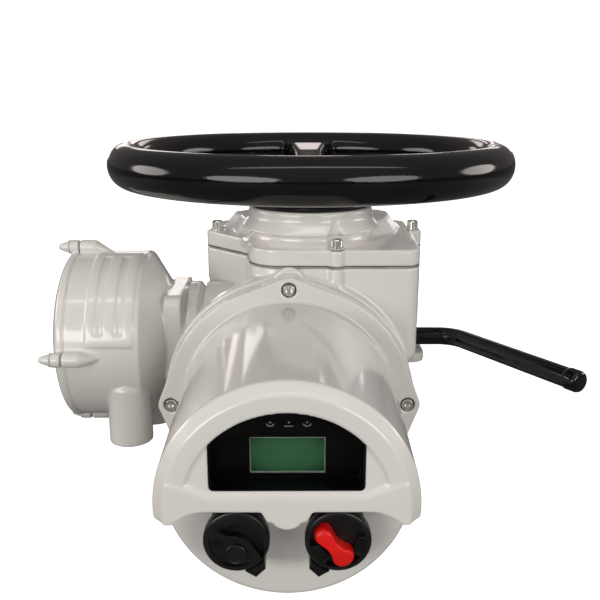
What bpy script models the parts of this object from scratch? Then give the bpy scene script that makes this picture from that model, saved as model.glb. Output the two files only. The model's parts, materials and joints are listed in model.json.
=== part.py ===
"""Multi-turn electric valve actuator with handwheel, declutch lever, local controls and terminal box.

World frame: the origin is on the output axis at the valve mounting face, +Z points up along the
output axis, the local controls face -Y and the terminal compartment points to -X.
All lengths below are in millimetres and angles in degrees; solid() scales the meshes to metres.
Sub-assemblies that do not stand upright are modelled in their own frames, each held by an empty.
"""

import math

import bmesh
import bpy
from mathutils import Matrix, Vector

MM = 0.001
GAP = 0.3
LARGE, MEDIUM, SMALL, SCREW_SIDES = 32, 24, 12, 8

# Sub-assembly axes
COVER_X, COVER_Z = -18.7, 138.0
TERMINAL_Y, TERMINAL_Z = 10.0, 174.3
WORM_X, WORM_Z = -46.0, COVER_Z
LEVER_Y, LEVER_Z = -5.0, TERMINAL_Z

# Valve mounting flange: the hole circle of an ISO 5210 F10 flange, with tapped holes
BASE_RADIUS, BASE_HEIGHT, BASE_BORE = 62.5, 24.0, 32.0
HOLE_CIRCLE, TAPPED_RADIUS, TAPPED_DEPTH = 51.0, 5.0, 16.0

# Gear case and top cover
CASE_BOTTOM, LEDGE_BOTTOM, LEDGE_TOP, CASE_TOP = BASE_HEIGHT + GAP, 157.0, 169.5, 251.1
FLOOR_Z, UPPER_FLOOR_Z, UPPER_BOTTOM = 60.0, 164.0, 167.3
GASKET_LOW, GASKET_HIGH = CASE_TOP + GAP, CASE_TOP + 1.3
PLATE_BOTTOM, PLATE_TOP, PLATEAU_TOP = GASKET_HIGH + GAP, 266.6, 279.3
NECK_TOP = 296.3
TOP_SCREWS = ((-87.5, 39), (98, 39), (21, -58), (70, 104), (-62, 104))
REAR_PAD = 113.5

# Socket-head screws (M6)
SCREW_HEAD, SCREW_HEAD_HEIGHT, SCREW_SHANK, SCREW_HOLE, SCREW_HEXAGON = 5.0, 6.0, 3.0, 3.3, 2.9
SCREW_WASHER, SCREW_WASHER_HEIGHT, SPOT_DEPTH = 6.2, 1.4, 0.5

# Local control cover, along its own axis towards the viewer
FLANGE_BACK, FLANGE_FRONT, FLANGE_RADIUS = 67.0, 84.0, 104.0
EAR_CIRCLE, EAR_RADIUS = 100.0, 10.5
CASE_FLANGE_BACK, CASE_FLANGE_FRONT, CASE_FLANGE_RADIUS = 50.0, 65.4, 107.0
BARREL_RADIUS, BARREL_END_RADIUS, BARREL_END = 89.6, 86.0, 249.4
FACE_RADIUS, FACE_Z = 78.2, 257.7
DISC_Z, DISC_BACK = 222.0, 212.0
WINDOW_RADIUS, WINDOW_HALF, WINDOW_BOTTOM = 67.0, 49.0, 14.0
CREASE_Y, CREASE_ANGLE, CHEEK_DEPTH = 10.5, 16.6, 2.5
DISPLAY_BACK = 236.7
LCD_LEFT, LCD_RIGHT, LCD_LOW, LCD_HIGH = -24.0, 24.7, 18.2, 43.4
KNOB_X, KNOB_Y, KNOB_RADIUS, KNOB_FRONT = 33.2, -26.9, 21.9, 247.4
KNOB_STEM, LOCK_RADIUS, LOCK_TOP = 16.5, 19.0, 227.0

# Terminal compartment, along its own axis away from the gear case
TERMINAL_START, TERMINAL_RIM, TERMINAL_RADIUS, TERMINAL_NECK = 96.3, 211.2, 76.7, 46.0
TERMINAL_HOLLOW, TERMINAL_COVER_BACK, TERMINAL_COVER_RADIUS = 71.5, 212.8, 77.5
LUG_CIRCLE, LUG_RADIUS, LUG_TOP, LUG_LENGTH, LUG_TAPER = 81.5, 6.5, 220.2, 15.0, 18.0
PAD_RADIUS, PAD_FLOOR = 78.5, 77.4
ENTRY_RADIUS, ENTRY_BORE = 19.25, 12.5
ENTRIES = ((54.5, 162.0, -85.0), (0.0, 150.0, -88.0), (-54.5, 162.0, -85.0))

# Drive train: worm gear with 30 teeth, single-start worm
TEETH, WHEEL_PITCH, WORM_PITCH = 30, 34.0, 12.0
LEAD = 2 * math.pi * WHEEL_PITCH / TEETH
ADDENDUM, DEDENDUM, WHEEL_FACE = 1.9, 2.4, 12.0
ROOT_HALF, TIP_HALF = 0.335 * LEAD, 0.125 * LEAD
SLEEVE_RADIUS, SLEEVE_BORE, SLEEVE_TOP = 24.0, 17.0, 270.0
RING_BOTTOM, RING_TOP, GROOVE_HALF = 148.6, LEVER_Z + 6.0, 3.0
DOG_HEIGHT, DOG_COUNT, DOG_ANGLE, CLUTCH_LIFT = 4.0, 4, 40.0, 6.0

MOTOR_LENGTH = 118.0

# Handwheel
WHEEL_Z, RIM_RADIUS, RIM_HALF_WIDTH, RIM_HALF_HEIGHT = 334.3, 159.8, 15.2, 17.7
SPOKE_ANGLES = (90, 210, 330)

# Declutch lever
ROD_RADIUS, CRANK_ARM, LEVER_LEAN = 8.1, 14.0, 1.7
LEVER_STRAIGHT, BEND_RADIUS, BEND_ANGLE, LEVER_REACH = 118.0, 25.0, 61.0, 132.0


def clear_scene():
    for obj in list(bpy.data.objects):
        bpy.data.objects.remove(obj, do_unlink=True)


def paint(name, colour, roughness, metallic=0.0):
    material = bpy.data.materials.new(name)
    material.use_nodes = True
    shader = material.node_tree.nodes["Principled BSDF"]
    shader.inputs["Base Color"].default_value = (*colour, 1.0)
    shader.inputs["Roughness"].default_value = roughness
    shader.inputs["Metallic"].default_value = metallic
    return material


def frame(name, location, x_axis, y_axis):
    """An empty that holds a sub-assembly's frame, with its X and Y directions given in the world."""
    x_axis, y_axis = Vector(x_axis), Vector(y_axis)
    turn = Matrix((x_axis, y_axis, x_axis.cross(y_axis))).transposed()
    empty = bpy.data.objects.new(name, None)
    empty.location = Vector(location) * MM
    empty.rotation_euler = turn.to_euler()
    bpy.context.scene.collection.objects.link(empty)
    return empty


# ---------------------------------------------------------------- mesh builders, in millimetres


def arc(cx, cy, radius, start, end, steps):
    """Points of an arc in the plane, both ends included."""
    angles = [math.radians(start + (end - start) * i / steps) for i in range(steps + 1)]
    return [(cx + radius * math.cos(a), cy + radius * math.sin(a)) for a in angles]


def circle(radius, segments, cx=0.0, cy=0.0):
    return arc(cx, cy, radius, 0, 360, segments)[:-1]


def rounded_rectangle(low_x, high_x, low_y, high_y, radius, steps=4):
    points = []
    corners = ((high_x, low_y, -90), (high_x, high_y, 0), (low_x, high_y, 90), (low_x, low_y, 180))
    for x, y, start in corners:
        cx = x - radius if x == high_x else x + radius
        cy = y - radius if y == high_y else y + radius
        points += arc(cx, cy, radius, start, start + 90, steps)
    return points


def lofted(rings):
    """A solid through rings of equally many points, capped at both ends."""
    bm = bmesh.new()
    loops = [[bm.verts.new(point) for point in ring] for ring in rings]
    for low, high in zip(loops, loops[1:]):
        for i, vert in enumerate(low):
            j = (i + 1) % len(low)
            bm.faces.new((vert, low[j], high[j], high[i]))
    bm.faces.new(loops[0][::-1])
    bm.faces.new(loops[-1])
    bmesh.ops.recalc_face_normals(bm, faces=bm.faces)
    return bm


def prism(outline, low, high):
    return lofted([[(x, y, z) for x, y in outline] for z in (low, high)])


def box(low_x, high_x, low_y, high_y, low_z, high_z):
    corners = [(low_x, low_y), (high_x, low_y), (high_x, high_y), (low_x, high_y)]
    return prism(corners, low_z, high_z)


def turned(profile, segments=LARGE):
    """A solid of revolution about Z from (radius, height) points; points on the axis are poles."""
    bm = bmesh.new()
    rings = []
    for radius, height in profile:
        count = segments if radius else 1
        ring = circle(radius, count) if radius else [(0.0, 0.0)]
        rings.append([bm.verts.new((x, y, height)) for x, y in ring])
    for low, high in zip(rings, rings[1:] + rings[:1]):
        if len(low) + len(high) == 2:
            continue
        for i in range(segments):
            j = (i + 1) % segments
            around = (low[i % len(low)], low[j % len(low)], high[j % len(high)], high[i % len(high)])
            bm.faces.new(dict.fromkeys(around))
    bmesh.ops.recalc_face_normals(bm, faces=bm.faces)
    return bm


def disc(radius, low, high, segments=LARGE):
    return turned([(0, low), (radius, low), (radius, high), (0, high)], segments)


def ring(inner, outer, low, high, segments=LARGE):
    return turned([(inner, low), (outer, low), (outer, high), (inner, high)], segments)


def sector(profile, start, end, steps):
    """Part of a turning: a closed (radius, height) profile carried from one angle to another."""
    rings = []
    for i in range(steps + 1):
        a = math.radians(start + (end - start) * i / steps)
        rings.append([(r * math.cos(a), r * math.sin(a), z) for r, z in profile])
    return lofted(rings)


def swept(path, radius, sides):
    """A round bar along a path, its ring turned as little as possible from point to point."""
    path = [Vector(point) for point in path]
    ends = zip([path[0]] + path[:-1], path[1:] + [path[-1]])
    tangents = [(after - before).normalized() for before, after in ends]
    normal = tangents[0].orthogonal().normalized()
    rings = []
    for i, (point, tangent) in enumerate(zip(path, tangents)):
        if i:
            normal.rotate(tangents[i - 1].rotation_difference(tangent))
        side = tangent.cross(normal)
        rings.append([point + normal * x + side * y for x, y in circle(radius, sides)])
    return lofted(rings)


def bar(start, end, radius, segments=MEDIUM):
    return swept([start, end], radius, segments)


# ---------------------------------------------------------------- objects


def solid(bm, shift=(0, 0, 0), holder=None):
    """An object from a mesh in millimetres, moved by shift and placed as in the holder's frame."""
    bmesh.ops.translate(bm, vec=shift, verts=bm.verts)
    bmesh.ops.scale(bm, vec=(MM, MM, MM), verts=bm.verts)
    if holder:
        place = Matrix.Translation(holder.location) @ holder.rotation_euler.to_matrix().to_4x4()
        bmesh.ops.transform(bm, matrix=place, verts=bm.verts)
    mesh = bpy.data.meshes.new("working")
    bm.to_mesh(mesh)
    bm.free()
    obj = bpy.data.objects.new("working", mesh)
    bpy.context.scene.collection.objects.link(obj)
    return obj


def combine(base, operation, tools):
    """Join the tools to the base or cut them from it, and remove them."""
    for tool in tools:
        modifier = base.modifiers.new(operation, "BOOLEAN")
        modifier.operation = operation
        modifier.solver = "EXACT"
        modifier.object = tool
    graph = bpy.context.evaluated_depsgraph_get()
    rough = base.data
    base.data = bpy.data.meshes.new_from_object(base.evaluated_get(graph))
    base.modifiers.clear()
    bpy.data.meshes.remove(rough)
    for tool in tools:
        bpy.data.objects.remove(tool, do_unlink=True)
    return base


def join(base, *tools):
    return combine(base, "UNION", tools)


def cut(base, *tools):
    return combine(base, "DIFFERENCE", tools)


def name_piece(obj, name, material, holder=None, location=(0, 0, 0), turn=0.0):
    """Give a finished solid its name, its material and its place in the holder's frame."""
    obj.name = name
    obj.data.name = name
    obj.data.materials.clear()
    obj.data.materials.append(material)
    obj.data.shade_smooth()
    obj.data.set_sharp_from_angle(angle=math.radians(35))
    obj.parent = holder
    obj.location = Vector(location) * MM
    obj.rotation_euler = (0, 0, math.radians(turn))
    return obj


def copies(pattern, name, material, holder, places):
    """Copies of one piece that share its mesh, numbered from 1."""
    for number, place in enumerate(places, 1):
        piece = pattern if number == 1 else bpy.data.objects.new("working", pattern.data)
        if number > 1:
            bpy.context.scene.collection.objects.link(piece)
        piece.name = f"{name}_{number}"
        piece.parent = holder
        piece.location = Vector(place) * MM
    pattern.data.name = name
    pattern.data.materials.append(material)
    pattern.data.shade_smooth()
    pattern.data.set_sharp_from_angle(angle=math.radians(35))


def socket_screw(shank, washer=False):
    """A socket-head screw along Z: its head's underside, or its washer's, is at zero."""
    lift = SCREW_WASHER_HEIGHT if washer else 0.0
    top = lift + SCREW_HEAD_HEIGHT
    profile = [(0, -shank), (SCREW_SHANK, -shank), (SCREW_SHANK, 0)]
    if washer:
        profile += [(SCREW_WASHER, 0), (SCREW_WASHER, lift)]
    profile += [(SCREW_HEAD, lift), (SCREW_HEAD, top), (0, top)]
    blank = solid(turned(profile, SCREW_SIDES))
    return cut(blank, solid(disc(SCREW_HEXAGON, top - 3.0, top + 1.0, 6)))


def screw_hole(place, low, high, holder=None):
    """The cutter of a plain or tapped screw hole along Z."""
    return solid(disc(SCREW_HOLE, low, high, SCREW_SIDES), place, holder)


def stepped_hole(place, low, seat, high, radius):
    """The cutter of a screw hole from low to its seat, and of a wider recess from there to high."""
    profile = [(0, low), (SCREW_HOLE, low), (SCREW_HOLE, seat), (radius, seat), (radius, high), (0, high)]
    return solid(turned(profile, SCREW_SIDES), place)


def circle_place(radius, turn, depth=0.0):
    """The place at an angle on a circle round Z."""
    return (radius * math.cos(math.radians(turn)), radius * math.sin(math.radians(turn)), depth)


def around(radius, depth):
    """Four places a quarter turn apart on a circle round Z."""
    return [circle_place(radius, turn, depth) for turn in (0, 90, 180, 270)]


# ---------------------------------------------------------------- outlines shared by several pieces


def case_outline():
    """The gear case seen from above, with a boss bulging out at each cover screw."""
    return (
        arc(21, -58, 7.25, -156, -24, 4)
        + arc(79.7, -49, 12, -90, 0, 3)
        + arc(98, 39, 8.5, -97, 97, 5)
        + arc(82, 85, 15, 0, 45, 1)
        + arc(70, 104, 9, -10, 190, 5)
        + arc(-62, 104, 9, -10, 190, 5)
        + arc(-75, 85, 15, 110, 180, 2)
        + arc(-87.5, 39, 10, 104, 215, 4)
        + [(-57, -8)]
        + arc(-25, -32, 29, 180, 270, 4)
    )


def cavity_outline():
    """The hollow of the gear case, one wall thickness inside its outline."""
    return (
        arc(75, -43, 8, -90, 0, 2)
        + arc(79, 82, 10, 0, 90, 2)
        + arc(-70, 80, 12, 90, 180, 2)
        + [(-82, 52), (-74, 32), (-48, -6)]
        + arc(-25, -32, 21, 180, 270, 3)
    )


def eared_disc(radius, ear_radius):
    """A round flange drawn out to four ears on the screw circle by straight tangents."""
    lean = math.degrees(math.acos((radius - ear_radius) / EAR_CIRCLE))
    points = []
    for turn in (0, 90, 180, 270):
        x, y, _ = circle_place(EAR_CIRCLE, turn)
        points += arc(x, y, ear_radius, turn - lean, turn + lean, 5)
        points += arc(0, 0, radius, turn + lean, turn + 90 - lean, 6)
    return points


def window_outline(margin):
    """The arched display window, drawn in by a margin."""
    radius, half, bottom = WINDOW_RADIUS - margin, WINDOW_HALF - margin, WINDOW_BOTTOM + margin
    shoulder = math.degrees(math.acos(half / radius))
    return arc(0, 0, radius, shoulder, 180 - shoulder, 10) + [(-half, bottom), (half, bottom)]


# ---------------------------------------------------------------- base, gear case and top cover


def base_flange(paint_body, holder):
    flange = solid(ring(BASE_BORE, BASE_RADIUS, 0, BASE_HEIGHT))
    cutters = []
    for turn in (45, 135, 225, 315):
        place = circle_place(HOLE_CIRCLE, turn)
        cutters.append(solid(disc(TAPPED_RADIUS, -1, TAPPED_DEPTH, SCREW_SIDES), place))
    for turn in (0, 90, 180, 270):
        place = circle_place(HOLE_CIRCLE, turn)
        cutters.append(stepped_hole(place, BASE_HEIGHT + 1, 8, -1, SCREW_HEAD + 2 * GAP))
    name_piece(cut(flange, *cutters), "base_flange", paint_body, holder)


def base_screws(steel, holder):
    """Four screws from below that hold the flange to the gear case, heads in counterbores."""
    screw = socket_screw(28)
    screw.data.transform(Matrix.Rotation(math.pi, 4, "X"))
    copies(screw, "base_screw", steel, holder, around(HOLE_CIRCLE, 8 - GAP))


def case_outside(cover_frame, terminal_frame, worm_frame):
    """The outer form of the gear case casting, still solid."""
    lower = rounded_rectangle(-80, 74, -48, 92, 26)
    ledge = rounded_rectangle(-60, 103.5, -32, 96, 12)
    body = solid(prism(case_outline(), UPPER_BOTTOM, CASE_TOP))
    flange = eared_disc(CASE_FLANGE_RADIUS, EAR_RADIUS - 0.6)
    foot = [(0, CASE_BOTTOM), (BASE_RADIUS, CASE_BOTTOM), (BASE_RADIUS, 46), (58, 60), (0, 60)]
    shoulder = turned([(0, 20), (72, 30), (104, CASE_FLANGE_BACK + 1), (0, CASE_FLANGE_BACK + 1)])
    return join(
        body,
        solid(prism(ledge, LEDGE_BOTTOM, LEDGE_TOP)),
        solid(prism(lower, 54, LEDGE_TOP - 2)),
        solid(turned(foot)),
        solid(prism(flange, CASE_FLANGE_BACK, CASE_FLANGE_FRONT), holder=cover_frame),
        solid(shoulder, holder=cover_frame),
        solid(disc(TERMINAL_NECK + 2, 40, TERMINAL_START + 1), holder=terminal_frame),
        solid(disc(58, 78, REAR_PAD), holder=worm_frame),
    )


def case_bores():
    """Round openings on the output axis: the flange bore and the lower bearing's seat."""
    profile = [(0, CASE_BOTTOM - 1), (36, CASE_BOTTOM - 1), (36, 42), (42.3, 42)]
    profile += [(42.3, FLOOR_Z + 1), (0, FLOOR_Z + 1)]
    return solid(turned(profile))


def gear_case(paint_body, holder, cover_frame, terminal_frame, worm_frame, lever_frame):
    case = case_outside(cover_frame, terminal_frame, worm_frame)
    lower = rounded_rectangle(-72, 66, -42, 84, 18)
    cut(case, solid(prism(lower, FLOOR_Z, UPPER_FLOOR_Z + 1)))
    cut(case, solid(prism(cavity_outline(), UPPER_FLOOR_Z, CASE_TOP + 1)))
    join(case, solid(disc(18.5, -45, -25.5, MEDIUM), holder=worm_frame))
    clear = ROD_RADIUS + 2 * GAP
    lever_bore = [(0, 58), (12.3, 58), (12.3, 92.5), (clear, 92.5), (clear, 110), (0, 110)]
    cutters = [
        case_bores(),
        solid(disc(14, -36, -24, MEDIUM), holder=worm_frame),
        solid(disc(14, 82, REAR_PAD + 1, MEDIUM), holder=worm_frame),
        solid(disc(38, 60, TERMINAL_START + 2, MEDIUM), holder=terminal_frame),
        solid(disc(TERMINAL_NECK + 8, TERMINAL_START - GAP, TERMINAL_START + 24), holder=terminal_frame),
        solid(disc(86, 58, CASE_FLANGE_FRONT + 1), holder=cover_frame),
        solid(turned(lever_bore, MEDIUM), holder=lever_frame),
    ]
    cutters += [screw_hole((x, y, 0), 234, CASE_TOP + 1) for x, y in TOP_SCREWS]
    cutters += [screw_hole(place, 53, CASE_FLANGE_FRONT + 1, cover_frame) for place in around(EAR_CIRCLE, 0)]
    cutters += [screw_hole(place, CASE_BOTTOM - 1, 38) for place in around(HOLE_CIRCLE, 0)]
    name_piece(cut(case, *cutters), "gear_case", paint_body, holder)


def top_cover_gasket(rubber, holder):
    gasket = solid(prism(case_outline(), GASKET_LOW, GASKET_HIGH))
    cutters = [solid(prism(cavity_outline(), GASKET_LOW - 1, GASKET_HIGH + 1))]
    cutters += [screw_hole((x, y, 0), GASKET_LOW - 1, GASKET_HIGH + 1) for x, y in TOP_SCREWS]
    name_piece(cut(gasket, *cutters), "top_cover_gasket", rubber, holder)


def plateau_outline(inset):
    """The raised rear part of the top cover, drawn in towards its middle."""
    outline = [(-76, 52), (-83, 62), (-83, 80), (-68, 94), (76, 94), (88, 82), (88, 54), (80, 20)]
    outline += [(62, 0), (30, -14), (-30, -14), (-58, 6), (-70, 28)]
    return [(x * (1 - inset), 35 + (y - 35) * (1 - inset)) for x, y in outline]


def top_cover(paint_body, holder):
    cover = solid(prism(case_outline(), PLATE_BOTTOM, PLATE_TOP))
    plateau = [
        [(x, y, PLATE_TOP - 1) for x, y in plateau_outline(0)],
        [(x, y, PLATEAU_TOP) for x, y in plateau_outline(0.13)],
    ]
    neck = [(0, 260), (53.5, 260), (53.5, 277.3), (61.5, 277.3)]
    neck += [(55, 288.3), (55, NECK_TOP), (0, NECK_TOP)]
    join(cover, solid(lofted(plateau)), solid(turned(neck)))
    bore = [(0, 250), (40, 250), (40, 272.7), (34, 272.7), (34, 276.7)]
    bore += [(46.3, 276.7), (46.3, 298), (0, 298)]
    cutters = [solid(turned(bore))]
    spot = PLATE_TOP - SPOT_DEPTH
    cutters += [stepped_hole((x, y, 0), 250, spot, 290, SCREW_WASHER + 0.8) for x, y in TOP_SCREWS]
    name_piece(cut(cover, *cutters), "top_cover", paint_body, holder)


def top_cover_screws(steel, holder):
    places = [(x, y, PLATE_TOP - SPOT_DEPTH + GAP) for x, y in TOP_SCREWS]
    copies(socket_screw(31, washer=True), "top_cover_screw", steel, holder, places)


# ---------------------------------------------------------------- local controls


def hood_edge():
    """The hood's lower edge from the middle to the right side: a lobe, a step and an arch."""
    flat, drop, lobe = 0.6, -7.0, -11.8
    turns = (0, 0.5, 1.0, math.pi / 2)
    middle = [(8.5 * math.sin(a), drop + (lobe - drop) * math.cos(a)) for a in turns]
    arch = [(50.7 + 22.9 * t, flat - 9.6 * t * t) for t in (0, 0.25, 0.5, 0.75, 1.0)]
    return middle + [(12.6, drop), (16.3, flat)] + arch + [(81, -8), (95, -8)]


def recess_outline():
    """Everything below the hood, which is cut back to the disc that carries the knobs."""
    right = hood_edge()
    left = [(-x, y) for x, y in reversed(right[1:])]
    return left + right + [(95, -95), (-95, -95)]


def cheek_outline():
    """The shallow D-shaped recess round the window, down to the crease above the chin."""
    rim = arc(0, 0, WINDOW_RADIUS, CREASE_ANGLE, 180 - CREASE_ANGLE, 12)
    return rim + [(-WINDOW_HALF, CREASE_Y), (WINDOW_HALF, CREASE_Y)]


def front_cover(paint_body, holder):
    barrel = [(0, FLANGE_BACK), (BARREL_RADIUS, FLANGE_BACK), (BARREL_RADIUS, FLANGE_FRONT)]
    barrel += [(BARREL_END_RADIUS, BARREL_END), (FACE_RADIUS, FACE_Z), (0, FACE_Z)]
    cover = solid(turned(barrel))
    join(cover, solid(prism(eared_disc(FLANGE_RADIUS, EAR_RADIUS), FLANGE_BACK, FLANGE_FRONT)))
    hollow = [(0, 60), (84.5, 60), (81, DISC_BACK), (0, DISC_BACK)]
    cutters = [
        solid(turned(hollow)),
        solid(prism(recess_outline(), DISC_Z, FACE_Z + 3)),
        solid(prism(window_outline(0), DISC_BACK - 3, FACE_Z + 3)),
        solid(prism(cheek_outline(), FACE_Z - CHEEK_DEPTH, FACE_Z + 3)),
    ]
    for side in (-1, 1):
        cutters.append(solid(disc(4.5, DISC_BACK - 2, DISC_Z + 2, SMALL), (side * KNOB_X, KNOB_Y, 0)))
    for place in around(EAR_CIRCLE, 0):
        cutters.append(stepped_hole(place, FLANGE_BACK - 1, FLANGE_FRONT - 10, FLANGE_FRONT + 20, 7.5))
    name_piece(cut(cover, *cutters), "front_cover", paint_body, holder)


def front_cover_seal(rubber, holder):
    seal = solid(ring(87.5, 95.5, CASE_FLANGE_FRONT + GAP, FLANGE_BACK - GAP, MEDIUM))
    name_piece(seal, "front_cover_seal", rubber, holder)


def front_cover_screws(steel, holder):
    places = around(EAR_CIRCLE, FLANGE_FRONT - 10 + GAP)
    copies(socket_screw(20), "front_cover_screw", steel, holder, places)


def display(plastic, glass, screen, holder):
    """A black tray that lines the window, the glass in it and the display module behind it."""
    tray = solid(prism(window_outline(GAP), DISPLAY_BACK, FACE_Z - CHEEK_DEPTH - GAP))
    inside = solid(prism(window_outline(GAP + 1.2), DISPLAY_BACK + 2, FACE_Z))
    opening = solid(box(LCD_LEFT, LCD_RIGHT, LCD_LOW, LCD_HIGH, DISPLAY_BACK - 1, FACE_Z))
    name_piece(cut(tray, inside, opening), "display_bezel", plastic, holder)
    pane = solid(prism(window_outline(GAP + 1.5), DISPLAY_BACK + 2 + GAP, DISPLAY_BACK + 4 + GAP))
    name_piece(pane, "display_glass", glass, holder)
    low, high = DISPLAY_BACK - 9, DISPLAY_BACK - GAP
    module = solid(box(LCD_LEFT - 4, LCD_RIGHT + 4, LCD_LOW - 1, LCD_HIGH + 6, low, high))
    name_piece(module, "lcd_module", screen, holder)


def control_board(board_green, holder):
    """The control circuit board on four pillars, with its transformer and relays."""
    board = solid(box(-62, 62, -52, 8, 198, 200))
    corners = ((-54, -46), (-54, 2), (54, -46), (54, 2))
    pieces = [solid(disc(3, 199, DISC_BACK - GAP, SMALL), (x, y, 0)) for x, y in corners]
    for x, y, width, height in ((-50, -40, 32, 22), (-6, -44, 14, 16), (16, -44, 14, 16), (36, -30, 20, 10)):
        pieces.append(solid(box(x, x + width, y, y + 24, 199 - height, 199)))
    name_piece(join(board, *pieces), "control_board", board_green, holder)


def lock_ring(name, plastic, holder, side):
    """The fixed ring behind a knob, and the pointed post beside the knob that takes a padlock."""
    low, high = DISC_Z + GAP, LOCK_TOP
    arm = [(0, 0), (5.4, -21.4), (12.6, -26), (18.2, -20.6), (19.6, -14)]
    post = arc(0, 0, KNOB_RADIUS + 3 * GAP, -76, -38, 4) + [(18.9, -20.2), (12.6, -26.4)]
    if side > 0:
        arm, post = [[(-x, y) for x, y in outline] for outline in (arm, post)]
    plate = solid(disc(LOCK_RADIUS, low, high, MEDIUM))
    join(plate, solid(prism(arm, low, high - GAP)), solid(prism(post, low + GAP, KNOB_FRONT - 1)))
    cut(plate, solid(disc(5, DISC_Z - 1, high + 1, SMALL)))
    name_piece(plate, name, plastic, holder, (side * KNOB_X, KNOB_Y, 0))


def knob_body():
    """A flanged knob on its spindle, modelled about its own axis."""
    back, rim = LOCK_TOP + GAP, KNOB_FRONT - 8
    profile = [(0, 204), (4, 204), (4, back), (KNOB_STEM, back), (KNOB_STEM, rim - 2), (KNOB_RADIUS, rim)]
    profile += [(KNOB_RADIUS, KNOB_FRONT - 2), (KNOB_RADIUS - 2, KNOB_FRONT), (0, KNOB_FRONT)]
    return solid(turned(profile, MEDIUM))


def selector_knob(plastic, holder):
    """The local, off and remote selector: two crescent pockets leave a curved grip between them."""
    knob = knob_body()
    pockets = []
    for turn in (0, 180):
        crescent = [(-12.6, 8.4), (-6, 12), (1.5, 13.6), (9, 12), (14.6, 7), (17.6, 0), (18.2, -8)]
        crescent += [(16.7, -11.8), (13.5, -7), (11.5, -4), (7.6, 0.5), (1.2, 4.2), (-6, 4.8)]
        pocket = solid(prism(crescent, KNOB_FRONT - 6, KNOB_FRONT + 1))
        pocket.data.transform(Matrix.Rotation(math.radians(turn), 4, "Z"))
        pockets.append(pocket)
    name_piece(cut(knob, *pockets), "selector_knob", plastic, holder)


def control_knob(plastic, red, holder):
    """The open, stop and close control: a dished knob with a red grip bar fixed in it."""
    knob = cut(knob_body(), solid(disc(18.5, KNOB_FRONT - 6, KNOB_FRONT + 1, MEDIUM)))
    name_piece(knob, "control_knob", plastic, holder)
    outline = arc(9.5, 0, 7.6, -100, 100, 8) + [(0, 5.6)] + arc(-12.3, 0, 5.2, 90, 270, 6) + [(0, -5.6)]
    grip = solid(prism(outline, KNOB_FRONT - 6 + GAP, KNOB_FRONT + 4))
    name_piece(grip, "control_knob_grip", red, holder, turn=-55.5)


# ---------------------------------------------------------------- terminal compartment


def terminal_lugs(low, high, taper=0.0):
    """Four lugs on the compartment's rim, tapering into its side where a taper is given."""
    lugs = []
    for x, y, _ in around(LUG_CIRCLE, 0):
        outline = circle(LUG_RADIUS, SCREW_SIDES, x, y)
        rings = [[(px, py, z) for px, py in outline] for z in (low, high)]
        if taper:
            foot = circle(2, SCREW_SIDES, x * 0.9, y * 0.9)
            rings.insert(0, [(px, py, low - taper) for px, py in foot])
        lugs.append(solid(lofted(rings)))
    return lugs


def upright_bar(x, depth, low, high, radius, segments):
    """A vertical round bar of the compartment: its own frame's Y axis points up."""
    return solid(bar((x, low, depth), (x, high, depth), radius, segments))


def ribbed_pad():
    """The raised pad on the compartment's side, with two shallow channels along its curve."""
    low, high, inner = 152, 192, TERMINAL_RADIUS - 2
    pad = solid(sector([(inner, low), (PAD_RADIUS, low), (PAD_RADIUS, high), (inner, high)], 7, 84, 8))
    channels = []
    for start in (160, 177):
        end = start + 7.5
        section = [(PAD_FLOOR, start), (PAD_RADIUS + 1, start), (PAD_RADIUS + 1, end), (PAD_FLOOR, end)]
        channels.append(solid(sector(section, 14, 77, 7)))
    return cut(pad, *channels)


def terminal_housing(paint_body, holder):
    outer = [(0, TERMINAL_START), (TERMINAL_NECK, TERMINAL_START), (TERMINAL_NECK, 100), (52, 107)]
    outer += [(52, 118), (47, 118.6), (47, 131), (51, 131.6), (TERMINAL_RADIUS, 148)]
    outer += [(TERMINAL_RADIUS, TERMINAL_RIM), (0, TERMINAL_RIM)]
    housing = solid(turned(outer))
    pieces = [solid(prism(rounded_rectangle(-50, 50, -50, 50, 15), 120, 134)), ribbed_pad()]
    pieces += terminal_lugs(TERMINAL_RIM - LUG_LENGTH, TERMINAL_RIM - GAP, LUG_TAPER)
    pieces += [upright_bar(x, z, low, -40, ENTRY_RADIUS, 16) for x, z, low in ENTRIES]
    join(housing, *pieces)
    rim = TERMINAL_RIM + 1
    hollow = [(0, 155), (TERMINAL_HOLLOW, 155), (TERMINAL_HOLLOW, rim), (0, rim)]
    cutters = [solid(turned(hollow, MEDIUM)), solid(disc(38, TERMINAL_START - 1, 156, MEDIUM))]
    cutters += [upright_bar(x, z, low - 1, -42, ENTRY_BORE, SMALL) for x, z, low in ENTRIES]
    cutters += [screw_hole(place, 195, rim) for place in around(LUG_CIRCLE, 0)]
    name_piece(cut(housing, *cutters), "terminal_housing", paint_body, holder)


def terminal_cover(paint_body, holder):
    """A shallow dome whose lip closes over the seal."""
    back, lip, radius = TERMINAL_COVER_BACK, TERMINAL_RIM + GAP, TERMINAL_COVER_RADIUS
    shell = [(TERMINAL_HOLLOW, back), (radius - 1.7, back), (radius - 1.7, lip), (radius, lip)]
    shell += [(radius, 216.5), (73, 220), (60, 224.5), (40, 229), (20, 231.5), (0, 232.3)]
    shell += [(0, 227), (38, 224), (58, 219.5), (TERMINAL_HOLLOW, 216)]
    cover = solid(turned(shell))
    join(cover, *terminal_lugs(lip + GAP, LUG_TOP))
    holes = [screw_hole(place, lip - 1, LUG_TOP + 1) for place in around(LUG_CIRCLE, 0)]
    name_piece(cut(cover, *holes), "terminal_cover", paint_body, holder)


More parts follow.
